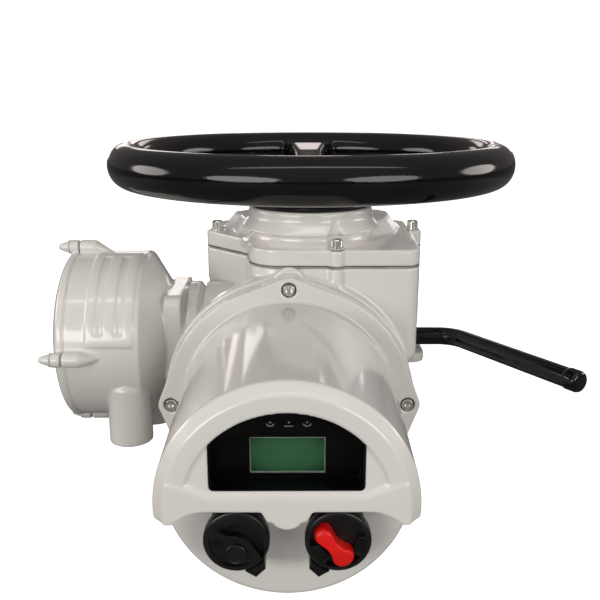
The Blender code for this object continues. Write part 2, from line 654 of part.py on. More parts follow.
def terminal_fittings(rubber, steel, plastic, holder):
    seal = ring(TERMINAL_HOLLOW + GAP, 74.5, TERMINAL_RIM + GAP, TERMINAL_COVER_BACK - GAP, MEDIUM)
    name_piece(solid(seal), "terminal_cover_seal", rubber, holder)
    places = around(LUG_CIRCLE, LUG_TOP + GAP)
    copies(socket_screw(24, washer=True), "terminal_cover_screw", steel, holder, places)
    block = solid(box(-52, 52, -24, 24, 155 + GAP, 170))
    walls = [solid(box(x, x + 2, -24, 24, 169, 178)) for x in range(-52, 51, 17)]
    name_piece(join(block, *walls), "terminal_block", plastic, holder)


# ---------------------------------------------------------------- motor and worm


def finned_outline(fins, inner, outer):
    """A motor frame's section: cooling fins that stand out from a round frame."""
    points = []
    pitch = 360 / fins
    for fin in range(fins):
        for offset, radius in ((-0.32, inner), (-0.14, outer), (0.14, outer), (0.32, inner)):
            points.append(circle_place(radius, (fin + offset) * pitch)[:2])
    return points


def motor(paint_body, steel, copper, holder):
    start = REAR_PAD + GAP
    end = start + MOTOR_LENGTH
    housing = solid(disc(57, start, start + 12))
    join(housing, solid(prism(finned_outline(16, 51.5, 56), start + 11, end)))
    cut(housing, solid(disc(48.3, start + 18, end + 1)), solid(disc(11, start - 1, start + 19, MEDIUM)))
    name_piece(housing, "motor_housing", paint_body, holder)
    cap = [(0, end + GAP), (55, end + GAP), (55, end + 8), (48, end + 14), (0, end + 16)]
    name_piece(solid(turned(cap)), "motor_end_cover", paint_body, holder)
    name_piece(solid(ring(34, 48, start + 20, end - 14, MEDIUM)), "motor_stator", copper, holder)
    for name, low in (("worm_bearing_front", -35.7), ("worm_bearing_rear", REAR_PAD - 12)):
        name_piece(solid(ring(8.3, 13.6, low, low + 10, MEDIUM)), name, steel, holder)


def worm_thread():
    """One ribbon of thread wound round the shaft, a crest at the shaft's middle facing the wheel."""
    turns, steps = 3, 12
    root, tip = WORM_PITCH - DEDENDUM - 0.6, WORM_PITCH + ADDENDUM
    section = ((root, -ROOT_HALF), (tip, -TIP_HALF), (tip, TIP_HALF), (root, ROOT_HALF))
    rings = []
    for i in range(turns * steps + 1):
        turn = 2 * math.pi * (i / steps - turns / 2)
        angle = -math.pi - turn
        depth = -LEAD * turn / (2 * math.pi)
        rings.append([(r * math.cos(angle), r * math.sin(angle), depth + z) for r, z in section])
    return lofted(rings)


def worm_and_rotor(steel, iron, holder):
    core = WORM_PITCH - DEDENDUM
    end = REAR_PAD + MOTOR_LENGTH - 10
    profile = [(0, -34), (8, -34), (8, -18), (core, -18), (core, 18), (8, 18), (8, end), (0, end)]
    shaft = join(solid(turned(profile, MEDIUM)), solid(worm_thread()))
    name_piece(shaft, "worm_shaft", steel, holder)
    name_piece(solid(ring(8.3, 33, REAR_PAD + 24, end - 8, MEDIUM)), "motor_rotor", iron, holder)


# ---------------------------------------------------------------- output drive and clutch


def worm_wheel(bronze, holder):
    """The wheel's teeth lean with the worm's lead; a gap faces the worm at its middle plane."""
    lean = math.degrees(math.atan(LEAD / (2 * math.pi * WORM_PITCH)) / WHEEL_PITCH)
    pitch = 360 / TEETH
    half_tip = math.degrees(TIP_HALF / WHEEL_PITCH)
    half_root = math.degrees(ROOT_HALF / WHEEL_PITCH)
    root, tip = WHEEL_PITCH - DEDENDUM, WHEEL_PITCH + ADDENDUM
    rings = []
    flanks = ((root, -half_root), (tip, -half_tip), (tip, half_tip), (root, half_root))
    for height in (-WHEEL_FACE / 2, WHEEL_FACE / 2):
        outline = []
        for tooth in range(TEETH):
            middle = (tooth + 0.5) * pitch + lean * height
            outline += [circle_place(radius, middle + offset, COVER_Z + height) for radius, offset in flanks]
        rings.append(outline)
    wheel = solid(lofted(rings))
    cut(wheel, solid(disc(SLEEVE_RADIUS + GAP, COVER_Z - 10, COVER_Z + 10, MEDIUM)))
    top = COVER_Z + WHEEL_FACE / 2
    join(wheel, *dogs(26, 31, top - 1, top + DOG_HEIGHT, 45))
    name_piece(wheel, "worm_wheel", bronze, holder)


def dogs(inner, outer, low, high, start):
    """Clutch dogs: short blocks round the axis with wider gaps between them."""
    section = [(inner, low), (outer, low), (outer, high), (inner, high)]
    turns = [start + 360 / DOG_COUNT * number for number in range(DOG_COUNT)]
    return [solid(sector(section, turn - DOG_ANGLE / 2, turn + DOG_ANGLE / 2, 3)) for turn in turns]


def drive_sleeve(steel, holder):
    profile = [(SLEEVE_BORE, 9.3), (28, 9.3), (28, 56), (34, 56), (34, 62), (SLEEVE_RADIUS, 62)]
    profile += [(SLEEVE_RADIUS, SLEEVE_TOP), (SLEEVE_BORE, SLEEVE_TOP)]
    name_piece(solid(turned(profile, MEDIUM)), "drive_sleeve", steel, holder)


def drive_bush(bronze, holder):
    """The unmachined stem nut blank in the sleeve's lower end, its face just above the base."""
    profile = [(0, 1), (26, 1), (26, 9), (SLEEVE_BORE - GAP, 9), (SLEEVE_BORE - GAP, 56), (0, 56)]
    name_piece(solid(turned(profile, MEDIUM)), "drive_bush", bronze, holder)


def clutch_ring(steel, holder):
    """The sliding clutch ring: dogs at both ends and a groove for the crank pin."""
    inner, body, flange = SLEEVE_RADIUS + GAP, 30.0, 36.0
    groove_low, groove_high = LEVER_Z - GROOVE_HALF, LEVER_Z + GROOVE_HALF
    profile = [(inner, RING_BOTTOM), (31.5, RING_BOTTOM), (31.5, groove_low - 3), (flange, groove_low - 3)]
    profile += [(flange, groove_low), (body, groove_low), (body, groove_high), (flange, groove_high)]
    profile += [(flange, RING_TOP), (inner, RING_TOP)]
    ring_body = solid(turned(profile, MEDIUM))
    lower = dogs(26, 31, RING_BOTTOM - DOG_HEIGHT, RING_BOTTOM + 1, 0)
    upper = dogs(26.5, 32, RING_TOP - 1, RING_TOP + DOG_HEIGHT, 0)
    name_piece(join(ring_body, *lower, *upper), "clutch_ring", steel, holder)


# ---------------------------------------------------------------- handwheel and its drive tube


def handwheel_rim():
    points = []
    for x, z in circle(1.0, 8):
        points.append((RIM_RADIUS + RIM_HALF_WIDTH * x, WHEEL_Z + RIM_HALF_HEIGHT * z))
    return solid(turned(points, 40))


def spoke(turn):
    """A spoke from the hub to the rim: thick and wide at both ends, waisted between them."""
    sections = ((36, 14, 300, 322), (62, 14, 309, 330), (100, 16, 318, 338))
    sections += ((135, 22, 322, 343), (158, 35, 324, 345))
    rings = []
    for reach, half, low, high in sections:
        outline = rounded_rectangle(-half, half, low, high, 8, 1)
        rings.append([(reach, x, z) for x, z in outline])
    bm = lofted(rings)
    bmesh.ops.rotate(bm, matrix=Matrix.Rotation(math.radians(turn), 3, "Z"), verts=bm.verts)
    return solid(bm)


def handwheel(black, holder):
    bottom = NECK_TOP + GAP
    hub = [(29.3, bottom), (53, bottom), (53, 306), (42, 316), (40, 330)]
    hub += [(22, 330), (22, 320), (29.3, 320)]
    wheel = join(handwheel_rim(), *[spoke(turn) for turn in SPOKE_ANGLES])
    cut(wheel, solid(disc(38, 290, 350, MEDIUM)))
    join(wheel, solid(turned(hub, MEDIUM)))
    name_piece(wheel, "handwheel", black, holder)
    cap = [(0, 322), (21.7, 322), (21.7, 330 + GAP), (32, 330 + GAP), (32, 334), (26, 337), (0, 338)]
    name_piece(solid(turned(cap, MEDIUM)), "handwheel_hub_cap", black, holder)


def handwheel_drive(steel, bronze, holder):
    """The tube that carries the handwheel's turning down to the clutch, and its plain bush."""
    bottom = RING_TOP + CLUTCH_LIFT + GAP
    body = bottom + DOG_HEIGHT + 2
    profile = [(26, body), (33, body), (33, NECK_TOP), (29, NECK_TOP), (29, 318), (26, 318)]
    tube = join(solid(turned(profile, MEDIUM)), *dogs(26.5, 32.5, bottom, body + 1, 45))
    name_piece(tube, "handwheel_drive_tube", steel, holder)
    bush = solid(ring(SLEEVE_RADIUS + GAP, 25.7, 250, 268, MEDIUM))
    name_piece(bush, "drive_tube_bush", bronze, holder)


def bearings(steel, holder):
    name_piece(solid(ring(28.3, 42, 42 + GAP, 54)), "sleeve_bearing_lower", steel, holder)
    name_piece(solid(ring(33.3, 46, 277, 290)), "handwheel_bearing", steel, holder)


# ---------------------------------------------------------------- declutch lever


def lever_path():
    """The lever's centre line in its own frame: along the shaft, round the bend and out to the end."""
    bend, lean = math.radians(BEND_ANGLE), math.radians(LEVER_LEAN)
    path = [Vector((0, 0, 46 + GAP)), Vector((0, 0, LEVER_STRAIGHT - 10))]
    for i in range(9):
        a = bend * i / 8
        reach = BEND_RADIUS * (1 - math.cos(a))
        depth = LEVER_STRAIGHT + BEND_RADIUS * math.sin(a)
        path.append(Vector((-reach * math.cos(lean), reach * math.sin(lean), depth)))
    out = Vector((-math.sin(bend) * math.cos(lean), math.sin(bend) * math.sin(lean), math.cos(bend)))
    return path, out


def lever(black, steel, bronze, moving, fixed):
    """The bent lever, its end button, and the crank whose pin lifts the clutch ring."""
    path, out = lever_path()
    tip = path[-1] + out * LEVER_REACH
    rod = solid(swept(path + [tip], ROD_RADIUS, SMALL))
    cut(rod, solid(bar(tip - out * 12, tip + out, 4, SMALL)))
    name_piece(rod, "declutch_lever", black, moving)
    button = solid(swept([tip + out * GAP, tip + out * 2.3, tip + out * 3.6], ROD_RADIUS + 0.4, SMALL))
    name_piece(join(button, solid(bar(tip - out * 11, tip + out, 3.7, SMALL))), "lever_cap", black, moving)
    crank = solid(turned([(0, 38), (18, 38), (18, 44), (12, 44), (12, 56), (0, 56)], MEDIUM))
    join(crank, solid(bar((CRANK_ARM, 0, 31), (CRANK_ARM, 0, 40), GROOVE_HALF - GAP, SMALL)))
    cut(crank, solid(disc(ROD_RADIUS + GAP, 46, 57, SMALL)))
    name_piece(crank, "clutch_crank", steel, moving)
    name_piece(solid(ring(ROD_RADIUS + GAP, 12, 80, 92, MEDIUM)), "lever_bush", bronze, fixed)


def return_spring(steel, holder):
    """The torsion spring round the lever shaft that brings the lever back to motor drive."""
    turns, steps, coil, wire = 4, 8, 10.0, 1.0
    path = []
    for i in range(turns * steps + 1):
        a = 2 * math.pi * i / steps
        path.append((coil * math.cos(a), coil * math.sin(a), 60 + 17 * i / (turns * steps)))
    name_piece(solid(swept(path, wire, 4)), "lever_return_spring", steel, holder)


# ---------------------------------------------------------------- the whole actuator


def build():
    clear_scene()
    grey = paint("grey_paint", (0.62, 0.60, 0.57), 0.25)
    black = paint("black_gloss_paint", (0.01, 0.01, 0.01), 0.12)
    plastic = paint("black_plastic", (0.015, 0.015, 0.015), 0.4)
    red = paint("red_plastic", (0.78, 0.02, 0.01), 0.35)
    steel = paint("steel", (0.6, 0.6, 0.6), 0.3, 1.0)
    bronze = paint("bronze", (0.62, 0.38, 0.16), 0.35, 1.0)
    copper = paint("copper_winding", (0.6, 0.25, 0.12), 0.45, 1.0)
    rubber = paint("black_rubber", (0.02, 0.02, 0.02), 0.8)
    glass = paint("display_glass", (0.02, 0.02, 0.02), 0.05)
    screen = paint("green_screen", (0.02, 0.08, 0.03), 0.2)
    board_green = paint("board_green", (0.02, 0.16, 0.06), 0.5)

    upright, sideways = (1, 0, 0), (0, 1, 0)
    body = frame("actuator_body", (0, 0, 0), upright, sideways)
    cover = frame("cover_frame", (COVER_X, 0, COVER_Z), (1, 0, 0), (0, 0, 1))
    terminal = frame("terminal_frame", (0, TERMINAL_Y, TERMINAL_Z), (0, -1, 0), (0, 0, 1))
    worm = frame("motor_frame", (WORM_X, 0, WORM_Z), (-1, 0, 0), (0, 0, 1))
    lever_fixed = frame("lever_frame", (0, LEVER_Y, LEVER_Z), (0, 1, 0), (0, 0, 1))
    output_axis = frame("output_axis", (0, 0, 0), upright, sideways)
    handwheel_axis = frame("handwheel_axis", (0, 0, 0), upright, sideways)
    clutch_axis = frame("clutch_axis", (0, 0, 0), upright, sideways)
    worm_axis = frame("worm_axis", (WORM_X, 0, WORM_Z), (-1, 0, 0), (0, 0, 1))
    lever_axis = frame("lever_axis", (0, LEVER_Y, LEVER_Z), (0, 1, 0), (0, 0, 1))
    knob_height = COVER_Z + KNOB_Y
    selector_axis = frame("selector_axis", (COVER_X - KNOB_X, 0, knob_height), (1, 0, 0), (0, 0, 1))
    control_axis = frame("control_axis", (COVER_X + KNOB_X, 0, knob_height), (1, 0, 0), (0, 0, 1))

    base_flange(grey, body)
    base_screws(steel, body)
    gear_case(grey, body, cover, terminal, worm, lever_fixed)
    top_cover_gasket(rubber, body)
    top_cover(grey, body)
    top_cover_screws(steel, body)
    bearings(steel, body)
    front_cover(grey, cover)
    front_cover_seal(rubber, cover)
    front_cover_screws(steel, cover)
    display(plastic, glass, screen, cover)
    control_board(board_green, cover)
    lock_ring("selector_lock_ring", plastic, cover, -1)
    lock_ring("control_lock_ring", plastic, cover, 1)
    selector_knob(plastic, selector_axis)
    control_knob(plastic, red, control_axis)
    terminal_housing(grey, terminal)
    terminal_cover(grey, terminal)
    terminal_fittings(rubber, steel, plastic, terminal)
    motor(grey, steel, copper, worm)
    worm_and_rotor(steel, steel, worm_axis)
    worm_wheel(bronze, output_axis)
    drive_sleeve(steel, output_axis)
    drive_bush(bronze, output_axis)
    clutch_ring(steel, clutch_axis)
    handwheel(black, handwheel_axis)
    handwheel_drive(steel, bronze, handwheel_axis)
    lever(black, steel, bronze, lever_axis, lever_fixed)
    return_spring(steel, lever_fixed)


build()
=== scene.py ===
import json
import math

import bmesh
import bpy
from mathutils import Matrix, Vector


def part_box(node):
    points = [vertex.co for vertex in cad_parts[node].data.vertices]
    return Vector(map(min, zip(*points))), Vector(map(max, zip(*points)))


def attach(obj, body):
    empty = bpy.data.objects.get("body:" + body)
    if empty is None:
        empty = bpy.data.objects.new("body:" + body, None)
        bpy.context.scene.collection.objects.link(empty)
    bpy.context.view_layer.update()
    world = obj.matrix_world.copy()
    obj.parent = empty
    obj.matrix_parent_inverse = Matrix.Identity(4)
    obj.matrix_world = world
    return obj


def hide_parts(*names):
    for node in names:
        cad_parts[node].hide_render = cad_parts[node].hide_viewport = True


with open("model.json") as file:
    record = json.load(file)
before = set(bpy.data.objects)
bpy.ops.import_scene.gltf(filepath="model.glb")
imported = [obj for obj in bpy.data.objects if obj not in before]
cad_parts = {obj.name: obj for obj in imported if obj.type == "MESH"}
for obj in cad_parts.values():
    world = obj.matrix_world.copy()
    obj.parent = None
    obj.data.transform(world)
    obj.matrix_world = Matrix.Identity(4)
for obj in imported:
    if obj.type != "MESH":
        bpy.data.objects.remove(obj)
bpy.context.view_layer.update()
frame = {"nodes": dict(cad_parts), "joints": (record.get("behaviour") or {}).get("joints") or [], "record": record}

MM = 0.001
GAP = 0.3
LARGE, MEDIUM, SMALL, FINE = 144, 96, 48, 24


def middle(node):
    """The middle of a CAD node's box, in millimetres."""
    low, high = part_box(node)
    return (low + high) / 2 / MM


def joint_place(name):
    """A joint's point in millimetres."""
    found = [joint for joint in frame["joints"] if joint["name"] == name]
    return Vector(found[0]["pos_m"]) / MM


def holder(place, x_axis, y_axis):
    """The matrix of a sub-assembly's own frame, in millimetres."""
    x_axis, y_axis = Vector(x_axis), Vector(y_axis)
    turn = Matrix((x_axis, y_axis, x_axis.cross(y_axis))).transposed().to_4x4()
    return Matrix.Translation(place) @ turn


cover_middle, terminal_middle = middle("front_cover_seal"), middle("terminal_cover_seal")
worm_place, lever_place = joint_place("worm_spin"), joint_place("lever_press")
selector_place, control_place = joint_place("selector_turn"), joint_place("control_turn")

WORLD = Matrix.Identity(4)
COVER = holder((cover_middle.x, 0, cover_middle.z), (1, 0, 0), (0, 0, 1))
TERMINAL = holder((0, terminal_middle.y, terminal_middle.z), (0, -1, 0), (0, 0, 1))
MOTOR = holder((worm_place.x, 0, worm_place.z), (-1, 0, 0), (0, 0, 1))
LEVER = holder((0, lever_place.y, lever_place.z), (0, 1, 0), (0, 0, 1))
SELECTOR = holder((selector_place.x, 0, selector_place.z), (1, 0, 0), (0, 0, 1))
CONTROL = holder((control_place.x, 0, control_place.z), (1, 0, 0), (0, 0, 1))

# The CAD's own measures, in millimetres
BASE_RADIUS, BASE_HEIGHT, BASE_BORE = 62.5, 24.0, 32.0
HOLE_CIRCLE, TAPPED_RADIUS, TAPPED_DEPTH = 51.0, 5.0, 16.0
CASE_BOTTOM, LEDGE_BOTTOM, CASE_TOP = BASE_HEIGHT + GAP, 157.0, 251.1
FLOOR_Z, UPPER_FLOOR_Z, UPPER_BOTTOM = 60.0, 164.0, 167.3
CASE_EDGE = ((0.955, UPPER_BOTTOM), (0.985, UPPER_BOTTOM + 2.5), (1.0, UPPER_BOTTOM + 7), (1.0, CASE_TOP))
PLATE_BOTTOM, PLATE_TOP, PLATEAU_TOP, NECK_TOP = CASE_TOP + 1.6, 266.6, 279.3, 296.3
TOP_SCREWS = ((-87.5, 39, 0), (98, 39, 0), (21, -58, 0), (70, 104, 0), (-62, 104, 0))
REAR_PAD = 113.5
SCREW_HEAD, SCREW_HEAD_HEIGHT, SCREW_SHANK, SCREW_HOLE, SCREW_HEXAGON = 5.0, 6.0, 3.0, 3.3, 2.9
SCREW_WASHER, SCREW_WASHER_HEIGHT, SPOT_DEPTH = 6.2, 1.4, 0.5
FLANGE_BACK, FLANGE_FRONT, FLANGE_RADIUS = 67.0, 84.0, 104.0
EAR_CIRCLE, EAR_RADIUS, EAR_HOLE = 100.0, 10.5, 6.3
CASE_FLANGE_BACK, CASE_FLANGE_FRONT, CASE_FLANGE_RADIUS = 50.0, 65.4, 107.0
BARREL_RADIUS, BARREL_END_RADIUS, BARREL_END = 89.6, 86.0, 249.4
FACE_RADIUS, FACE_Z = 78.2, 257.7
DISC_Z, DISC_BACK = 222.0, 212.0
WINDOW_RADIUS, WINDOW_HALF, WINDOW_BOTTOM = 67.0, 49.0, 14.0
CREASE_Y, CREASE_ANGLE, CHEEK_DEPTH = 10.5, 16.6, 2.5
DISPLAY_BACK = 236.7
LCD_LEFT, LCD_RIGHT, LCD_LOW, LCD_HIGH = -24.0, 24.7, 18.2, 43.4
KNOB_X, KNOB_Y, KNOB_RADIUS, KNOB_FRONT = 33.2, -26.9, 21.9, 247.4
KNOB_STEM, LOCK_RADIUS, LOCK_TOP = 16.5, 19.0, 227.0
TERMINAL_START, TERMINAL_RIM, TERMINAL_RADIUS, TERMINAL_NECK = 96.3, 211.2, 76.7, 46.0
TERMINAL_HOLLOW, TERMINAL_COVER_BACK, TERMINAL_COVER_RADIUS = 71.5, 212.8, 77.5
LUG_CIRCLE, LUG_RADIUS, LUG_TOP, LUG_LENGTH, LUG_TAPER = 81.5, 6.5, 220.2, 15.0, 18.0
PAD_RADIUS, PAD_FLOOR = 78.5, 77.2
ENTRY_RADIUS, ENTRY_BORE = 19.25, 12.5
ENTRIES = ((54.5, 162.0, -85.0), (0.0, 150.0, -88.0), (-54.5, 162.0, -85.0))
MOTOR_LENGTH = 118.0
WHEEL_Z, RIM_RADIUS, RIM_HALF_WIDTH, RIM_HALF_HEIGHT = 334.3, 159.8, 15.2, 17.7
SPOKE_ANGLES = (90, 210, 330)
ROD_RADIUS, LEVER_LEAN = 8.1, 1.7
LEVER_STRAIGHT, BEND_RADIUS, BEND_ANGLE, LEVER_REACH = 118.0, 25.0, 61.0, 132.0


# ---------- mesh builders, in millimetres


def arc(cx, cy, radius, start, end, steps):
    angles = [math.radians(start + (end - start) * i / steps) for i in range(steps + 1)]
    return [(cx + radius * math.cos(a), cy + radius * math.sin(a)) for a in angles]


def circle(radius, segments, cx=0.0, cy=0.0):
    return arc(cx, cy, radius, 0, 360, segments)[:-1]


def rounded_rectangle(low_x, high_x, low_y, high_y, radius, steps=8):
    points = []
    corners = ((high_x, low_y, -90), (high_x, high_y, 0), (low_x, high_y, 90), (low_x, low_y, 180))
    for x, y, start in corners:
        cx = x - radius if x == high_x else x + radius
        cy = y - radius if y == high_y else y + radius
        points += arc(cx, cy, radius, start, start + 90, steps)
    return points


def lofted(rings):
    bm = bmesh.new()
    loops = [[bm.verts.new(point) for point in ring] for ring in rings]
    for low, high in zip(loops, loops[1:]):
        for i, vert in enumerate(low):
            j = (i + 1) % len(low)
            bm.faces.new((vert, low[j], high[j], high[i]))
    bm.faces.new(loops[0][::-1])
    bm.faces.new(loops[-1])
    bmesh.ops.recalc_face_normals(bm, faces=bm.faces)
    return bm


def prism(outline, low, high):
    return lofted([[(x, y, z) for x, y in outline] for z in (low, high)])


def box(low_x, high_x, low_y, high_y, low_z, high_z):
    corners = [(low_x, low_y), (high_x, low_y), (high_x, high_y), (low_x, high_y)]
    return prism(corners, low_z, high_z)


def turned(profile, segments=LARGE):
    """A solid of revolution about Z from (radius, height) points; points on the axis are poles."""
    bm = bmesh.new()
    rings = []
    for radius, height in profile:
        points = circle(radius, segments) if radius else [(0.0, 0.0)]
        rings.append([bm.verts.new((x, y, height)) for x, y in points])
    for low, high in zip(rings, rings[1:] + rings[:1]):
        if len(low) + len(high) == 2:
            continue
        for i in range(segments):
            j = (i + 1) % segments
            corners = (low[i % len(low)], low[j % len(low)], high[j % len(high)], high[i % len(high)])
            bm.faces.new(dict.fromkeys(corners))
    bmesh.ops.recalc_face_normals(bm, faces=bm.faces)
    return bm


def disc(radius, low, high, segments=LARGE):
    return turned([(0, low), (radius, low), (radius, high), (0, high)], segments)


def ring(inner, outer, low, high, segments=LARGE):
    return turned([(inner, low), (outer, low), (outer, high), (inner, high)], segments)


def sector(profile, start, end, steps):
    rings = []
    for i in range(steps + 1):
        a = math.radians(start + (end - start) * i / steps)
        rings.append([(r * math.cos(a), r * math.sin(a), z) for r, z in profile])
    return lofted(rings)


def swept(path, radii, sides):
    """A round bar along a path, with one radius or one for each point."""
    path = [Vector(point) for point in path]
    radii = radii if isinstance(radii, list) else [radii] * len(path)
    ends = zip([path[0]] + path[:-1], path[1:] + [path[-1]])
    tangents = [(after - before).normalized() for before, after in ends]
    normal = tangents[0].orthogonal().normalized()
    rings = []
    for i, (point, tangent) in enumerate(zip(path, tangents)):
        if i:
            normal.rotate(tangents[i - 1].rotation_difference(tangent))
        side = tangent.cross(normal)
        rings.append([point + normal * x + side * y for x, y in circle(radii[i], sides)])
    return lofted(rings)


def bar(start, end, radius, segments=SMALL):
    return swept([start, end], radius, segments)


def rounded(profile, radius, steps=4):
    """A profile with its corners rounded; corners on the axis stay."""
    result = []
    count = len(profile)
    for i, (x, y) in enumerate(profile):
        here = Vector((x, y))
        before, after = Vector(profile[i - 1]) - here, Vector(profile[(i + 1) % count]) - here
        if x == 0 or before.length < 1e-6 or after.length < 1e-6:
            result.append((x, y))
            continue
        reach = min(radius, before.length * 0.45, after.length * 0.45)
        start, end = here + before.normalized() * reach, here + after.normalized() * reach
        for step in range(steps + 1):
            t = step / steps
            point = start * (1 - t) ** 2 + here * 2 * t * (1 - t) + end * t * t
            result.append((max(point.x, 0.0), point.y))
    return result


def curved(points, steps=6):
    """A smooth closed curve through a few points (a Catmull-Rom spline)."""
    result = []
    count = len(points)
    for i in range(count):
        a, b, c, d = (Vector(points[(i + k) % count]) for k in (-1, 0, 1, 2))
        for step in range(steps):
            t = step / steps
            smooth = 2 * b + (c - a) * t + (2 * a - 5 * b + 4 * c - d) * t * t
            smooth += (3 * b - a - 3 * c + d) * t * t * t
            result.append((smooth.x / 2, smooth.y / 2))
    return result


def circle_place(radius, turn, depth=0.0):
    return (radius * math.cos(math.radians(turn)), radius * math.sin(math.radians(turn)), depth)


def around(radius, depth=0.0):
    return [circle_place(radius, turn, depth) for turn in (0, 90, 180, 270)]


# ---------- objects


def solid(bm, place=WORLD, shift=(0, 0, 0)):
    """An object in metres from a mesh in millimetres, moved and put into a frame."""
    bmesh.ops.transform(bm, matrix=place @ Matrix.Translation(shift), verts=bm.verts)
    bmesh.ops.scale(bm, vec=(MM, MM, MM), verts=bm.verts)
    mesh = bpy.data.meshes.new("working")
    bm.to_mesh(mesh)
    bm.free()
    obj = bpy.data.objects.new("working", mesh)
    bpy.context.scene.collection.objects.link(obj)
    return obj


def apply_modifiers(obj):
    graph = bpy.context.evaluated_depsgraph_get()
    rough = obj.data
    obj.data = bpy.data.meshes.new_from_object(obj.evaluated_get(graph))
    obj.modifiers.clear()
    bpy.data.meshes.remove(rough)
    return obj


def combine(base, operation, tools):
    for tool in tools:
        modifier = base.modifiers.new(operation, "BOOLEAN")
        modifier.operation = operation
        modifier.solver = "MANIFOLD"
        modifier.object = tool
    apply_modifiers(base)
    for tool in tools:
        bpy.data.objects.remove(tool, do_unlink=True)
    return base


def join(base, *tools):
    return combine(base, "UNION", tools)


def cut(base, *tools):
    return combine(base, "DIFFERENCE", tools)


def soften(obj, voxel, passes):
    """Round every edge and corner as in a casting: an even fine mesh, smoothed."""
    remesh = obj.modifiers.new("even", "REMESH")
    remesh.mode = "VOXEL"
    remesh.voxel_size = voxel * MM
    smooth = obj.modifiers.new("round", "SMOOTH")
    smooth.factor = 0.5
    smooth.iterations = passes
    return apply_modifiers(obj)


def bevel(obj, width, segments=2):
    edge = obj.modifiers.new("edges", "BEVEL")
    edge.width = width * MM
    edge.segments = segments
    edge.limit_method = "ANGLE"
    edge.angle_limit = math.radians(30)
    return apply_modifiers(obj)


def finish_piece(obj, name, body, slot, nodes=(), sharp=40, material=None):
    """Name a piece, give it its slot's material or the given one and its shading, tie it to its body, and hide the
    CAD nodes it stands in for.
    """
    obj.name = name
    obj.data.name = name
    obj.data.materials.clear()
    obj.data.materials.append(material or MATERIALS[slot])
    obj.data.shade_smooth()
    if sharp:
        obj.data.set_sharp_from_angle(angle=math.radians(sharp))
    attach(obj, body)
    if nodes:
        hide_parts(*nodes)


def finish_casting(obj, node, voxel, passes):
    """A grey casting with soft edges, in place of its CAD node."""
    soften(obj, voxel, passes)
    finish_piece(obj, f"{node}_casting", "casing", "body_paint", [node], sharp=0)


# ---------- materials


def fill_ramp(node, stops):
    elements = node.color_ramp.elements
    while len(elements) < len(stops):
        elements.new(0.5)
    for element, (position, colour) in zip(elements, stops):
        element.position = position
        element.color = (*colour, 1.0)


class Paint:
    """A node material: a Principled shader with helpers for noise, bump and colour variation."""

    def __init__(self, name, colour, roughness, metallic=0.0, **settings):
        self.material = bpy.data.materials.new(name)
        self.material.use_nodes = True
        self.tree = self.material.node_tree
        self.shader = self.tree.nodes["Principled BSDF"]
        self.shader.inputs["Base Color"].default_value = (*colour, 1.0)
        self.shader.inputs["Roughness"].default_value = roughness
        self.shader.inputs["Metallic"].default_value = metallic
        for key, value in settings.items():
            self.shader.inputs[key.replace("_", " ")].default_value = value
        self.height = None
        coordinates = self.node("TexCoord")
        self.place = coordinates.outputs["Object"]

    def node(self, kind, **inputs):
        node = self.tree.nodes.new(f"ShaderNode{kind}")
        for key, value in inputs.items():
            node.inputs[key.replace("_", " ")].default_value = value
        return node

    def link(self, source, target):
        self.tree.links.new(source, target)

    def noise(self, scale, detail=3.0, roughness=0.5):
        node = self.node("TexNoise", Scale=scale, Detail=detail, Roughness=roughness)
        self.link(self.place, node.inputs["Vector"])
        return node.outputs["Fac"]

    def ramp(self, factor, *stops):
        node = self.node("ValToRGB")
        fill_ramp(node, stops)
        self.link(factor, node.inputs["Fac"])
        return node.outputs["Color"]

    def colour(self, factor, *stops):
        self.link(self.ramp(factor, *stops), self.shader.inputs["Base Color"])

    def rough(self, factor, low, high):
        spread = self.node("MapRange", To_Min=low, To_Max=high)
        self.link(factor, spread.inputs["Value"])
        self.link(spread.outputs["Result"], self.shader.inputs["Roughness"])

    def bump(self, factor, strength, distance):
        node = self.node("Bump", Strength=strength, Distance=distance)
        self.link(factor, node.inputs["Height"])
        if self.height:
            self.link(self.height, node.inputs["Normal"])
        self.height = node.outputs["Normal"]
        self.link(self.height, self.shader.inputs["Normal"])


def shades(colour, spread):
    """A darker, an equal and a lighter shade of a colour."""
    return [tuple(max(0.0, c * factor) for c in colour) for factor in (1 - spread, 1.0, 1 + spread)]


def grey_paint():
    """Sprayed gloss enamel on a casting: a clear smooth film over slightly wavy metal, with a little dust."""
    base = (0.80, 0.783, 0.75)
    paint = Paint("grey_enamel", base, 0.34, Coat_Weight=1.0, Coat_Roughness=0.1, Coat_IOR=1.5)
    low, mid, high = shades(base, 0.03)
    paint.colour(paint.noise(9.0), (0.25, low), (0.5, mid), (0.75, high))
    paint.rough(paint.noise(60.0, 2.0), 0.3, 0.4)
    paint.bump(paint.noise(22.0, 0.0), 0.10, 0.0006)
    paint.bump(paint.noise(420.0, 1.0), 0.035, 0.0002)
    return paint.material


def black_paint():
    """Thick gloss black enamel with long soft waves and a few dust nibs."""
    paint = Paint("black_enamel", (0.002, 0.002, 0.0022), 0.08, Specular_IOR_Level=0.42)
    paint.colour(paint.noise(20.0), (0.3, (0.0015, 0.0015, 0.0018)), (0.7, (0.003, 0.003, 0.0034)))
    paint.rough(paint.noise(90.0, 2.0), 0.07, 0.13)
    paint.bump(paint.noise(24.0, 0.0), 0.06, 0.0008)
    paint.bump(paint.noise(520.0, 1.0), 0.02, 0.0002)
    return paint.material


def gasket_sheet():
    """Jointing sheet whose edge took an uneven film of the body paint."""
    paint = Paint("painted_gasket", (0.45, 0.44, 0.41), 0.6)
    paint.colour(paint.noise(70.0), (0.35, (0.22, 0.212, 0.195)), (0.65, (0.36, 0.348, 0.325)))
    paint.bump(paint.noise(900.0, 2.0), 0.2, 0.0002)
    return paint.material


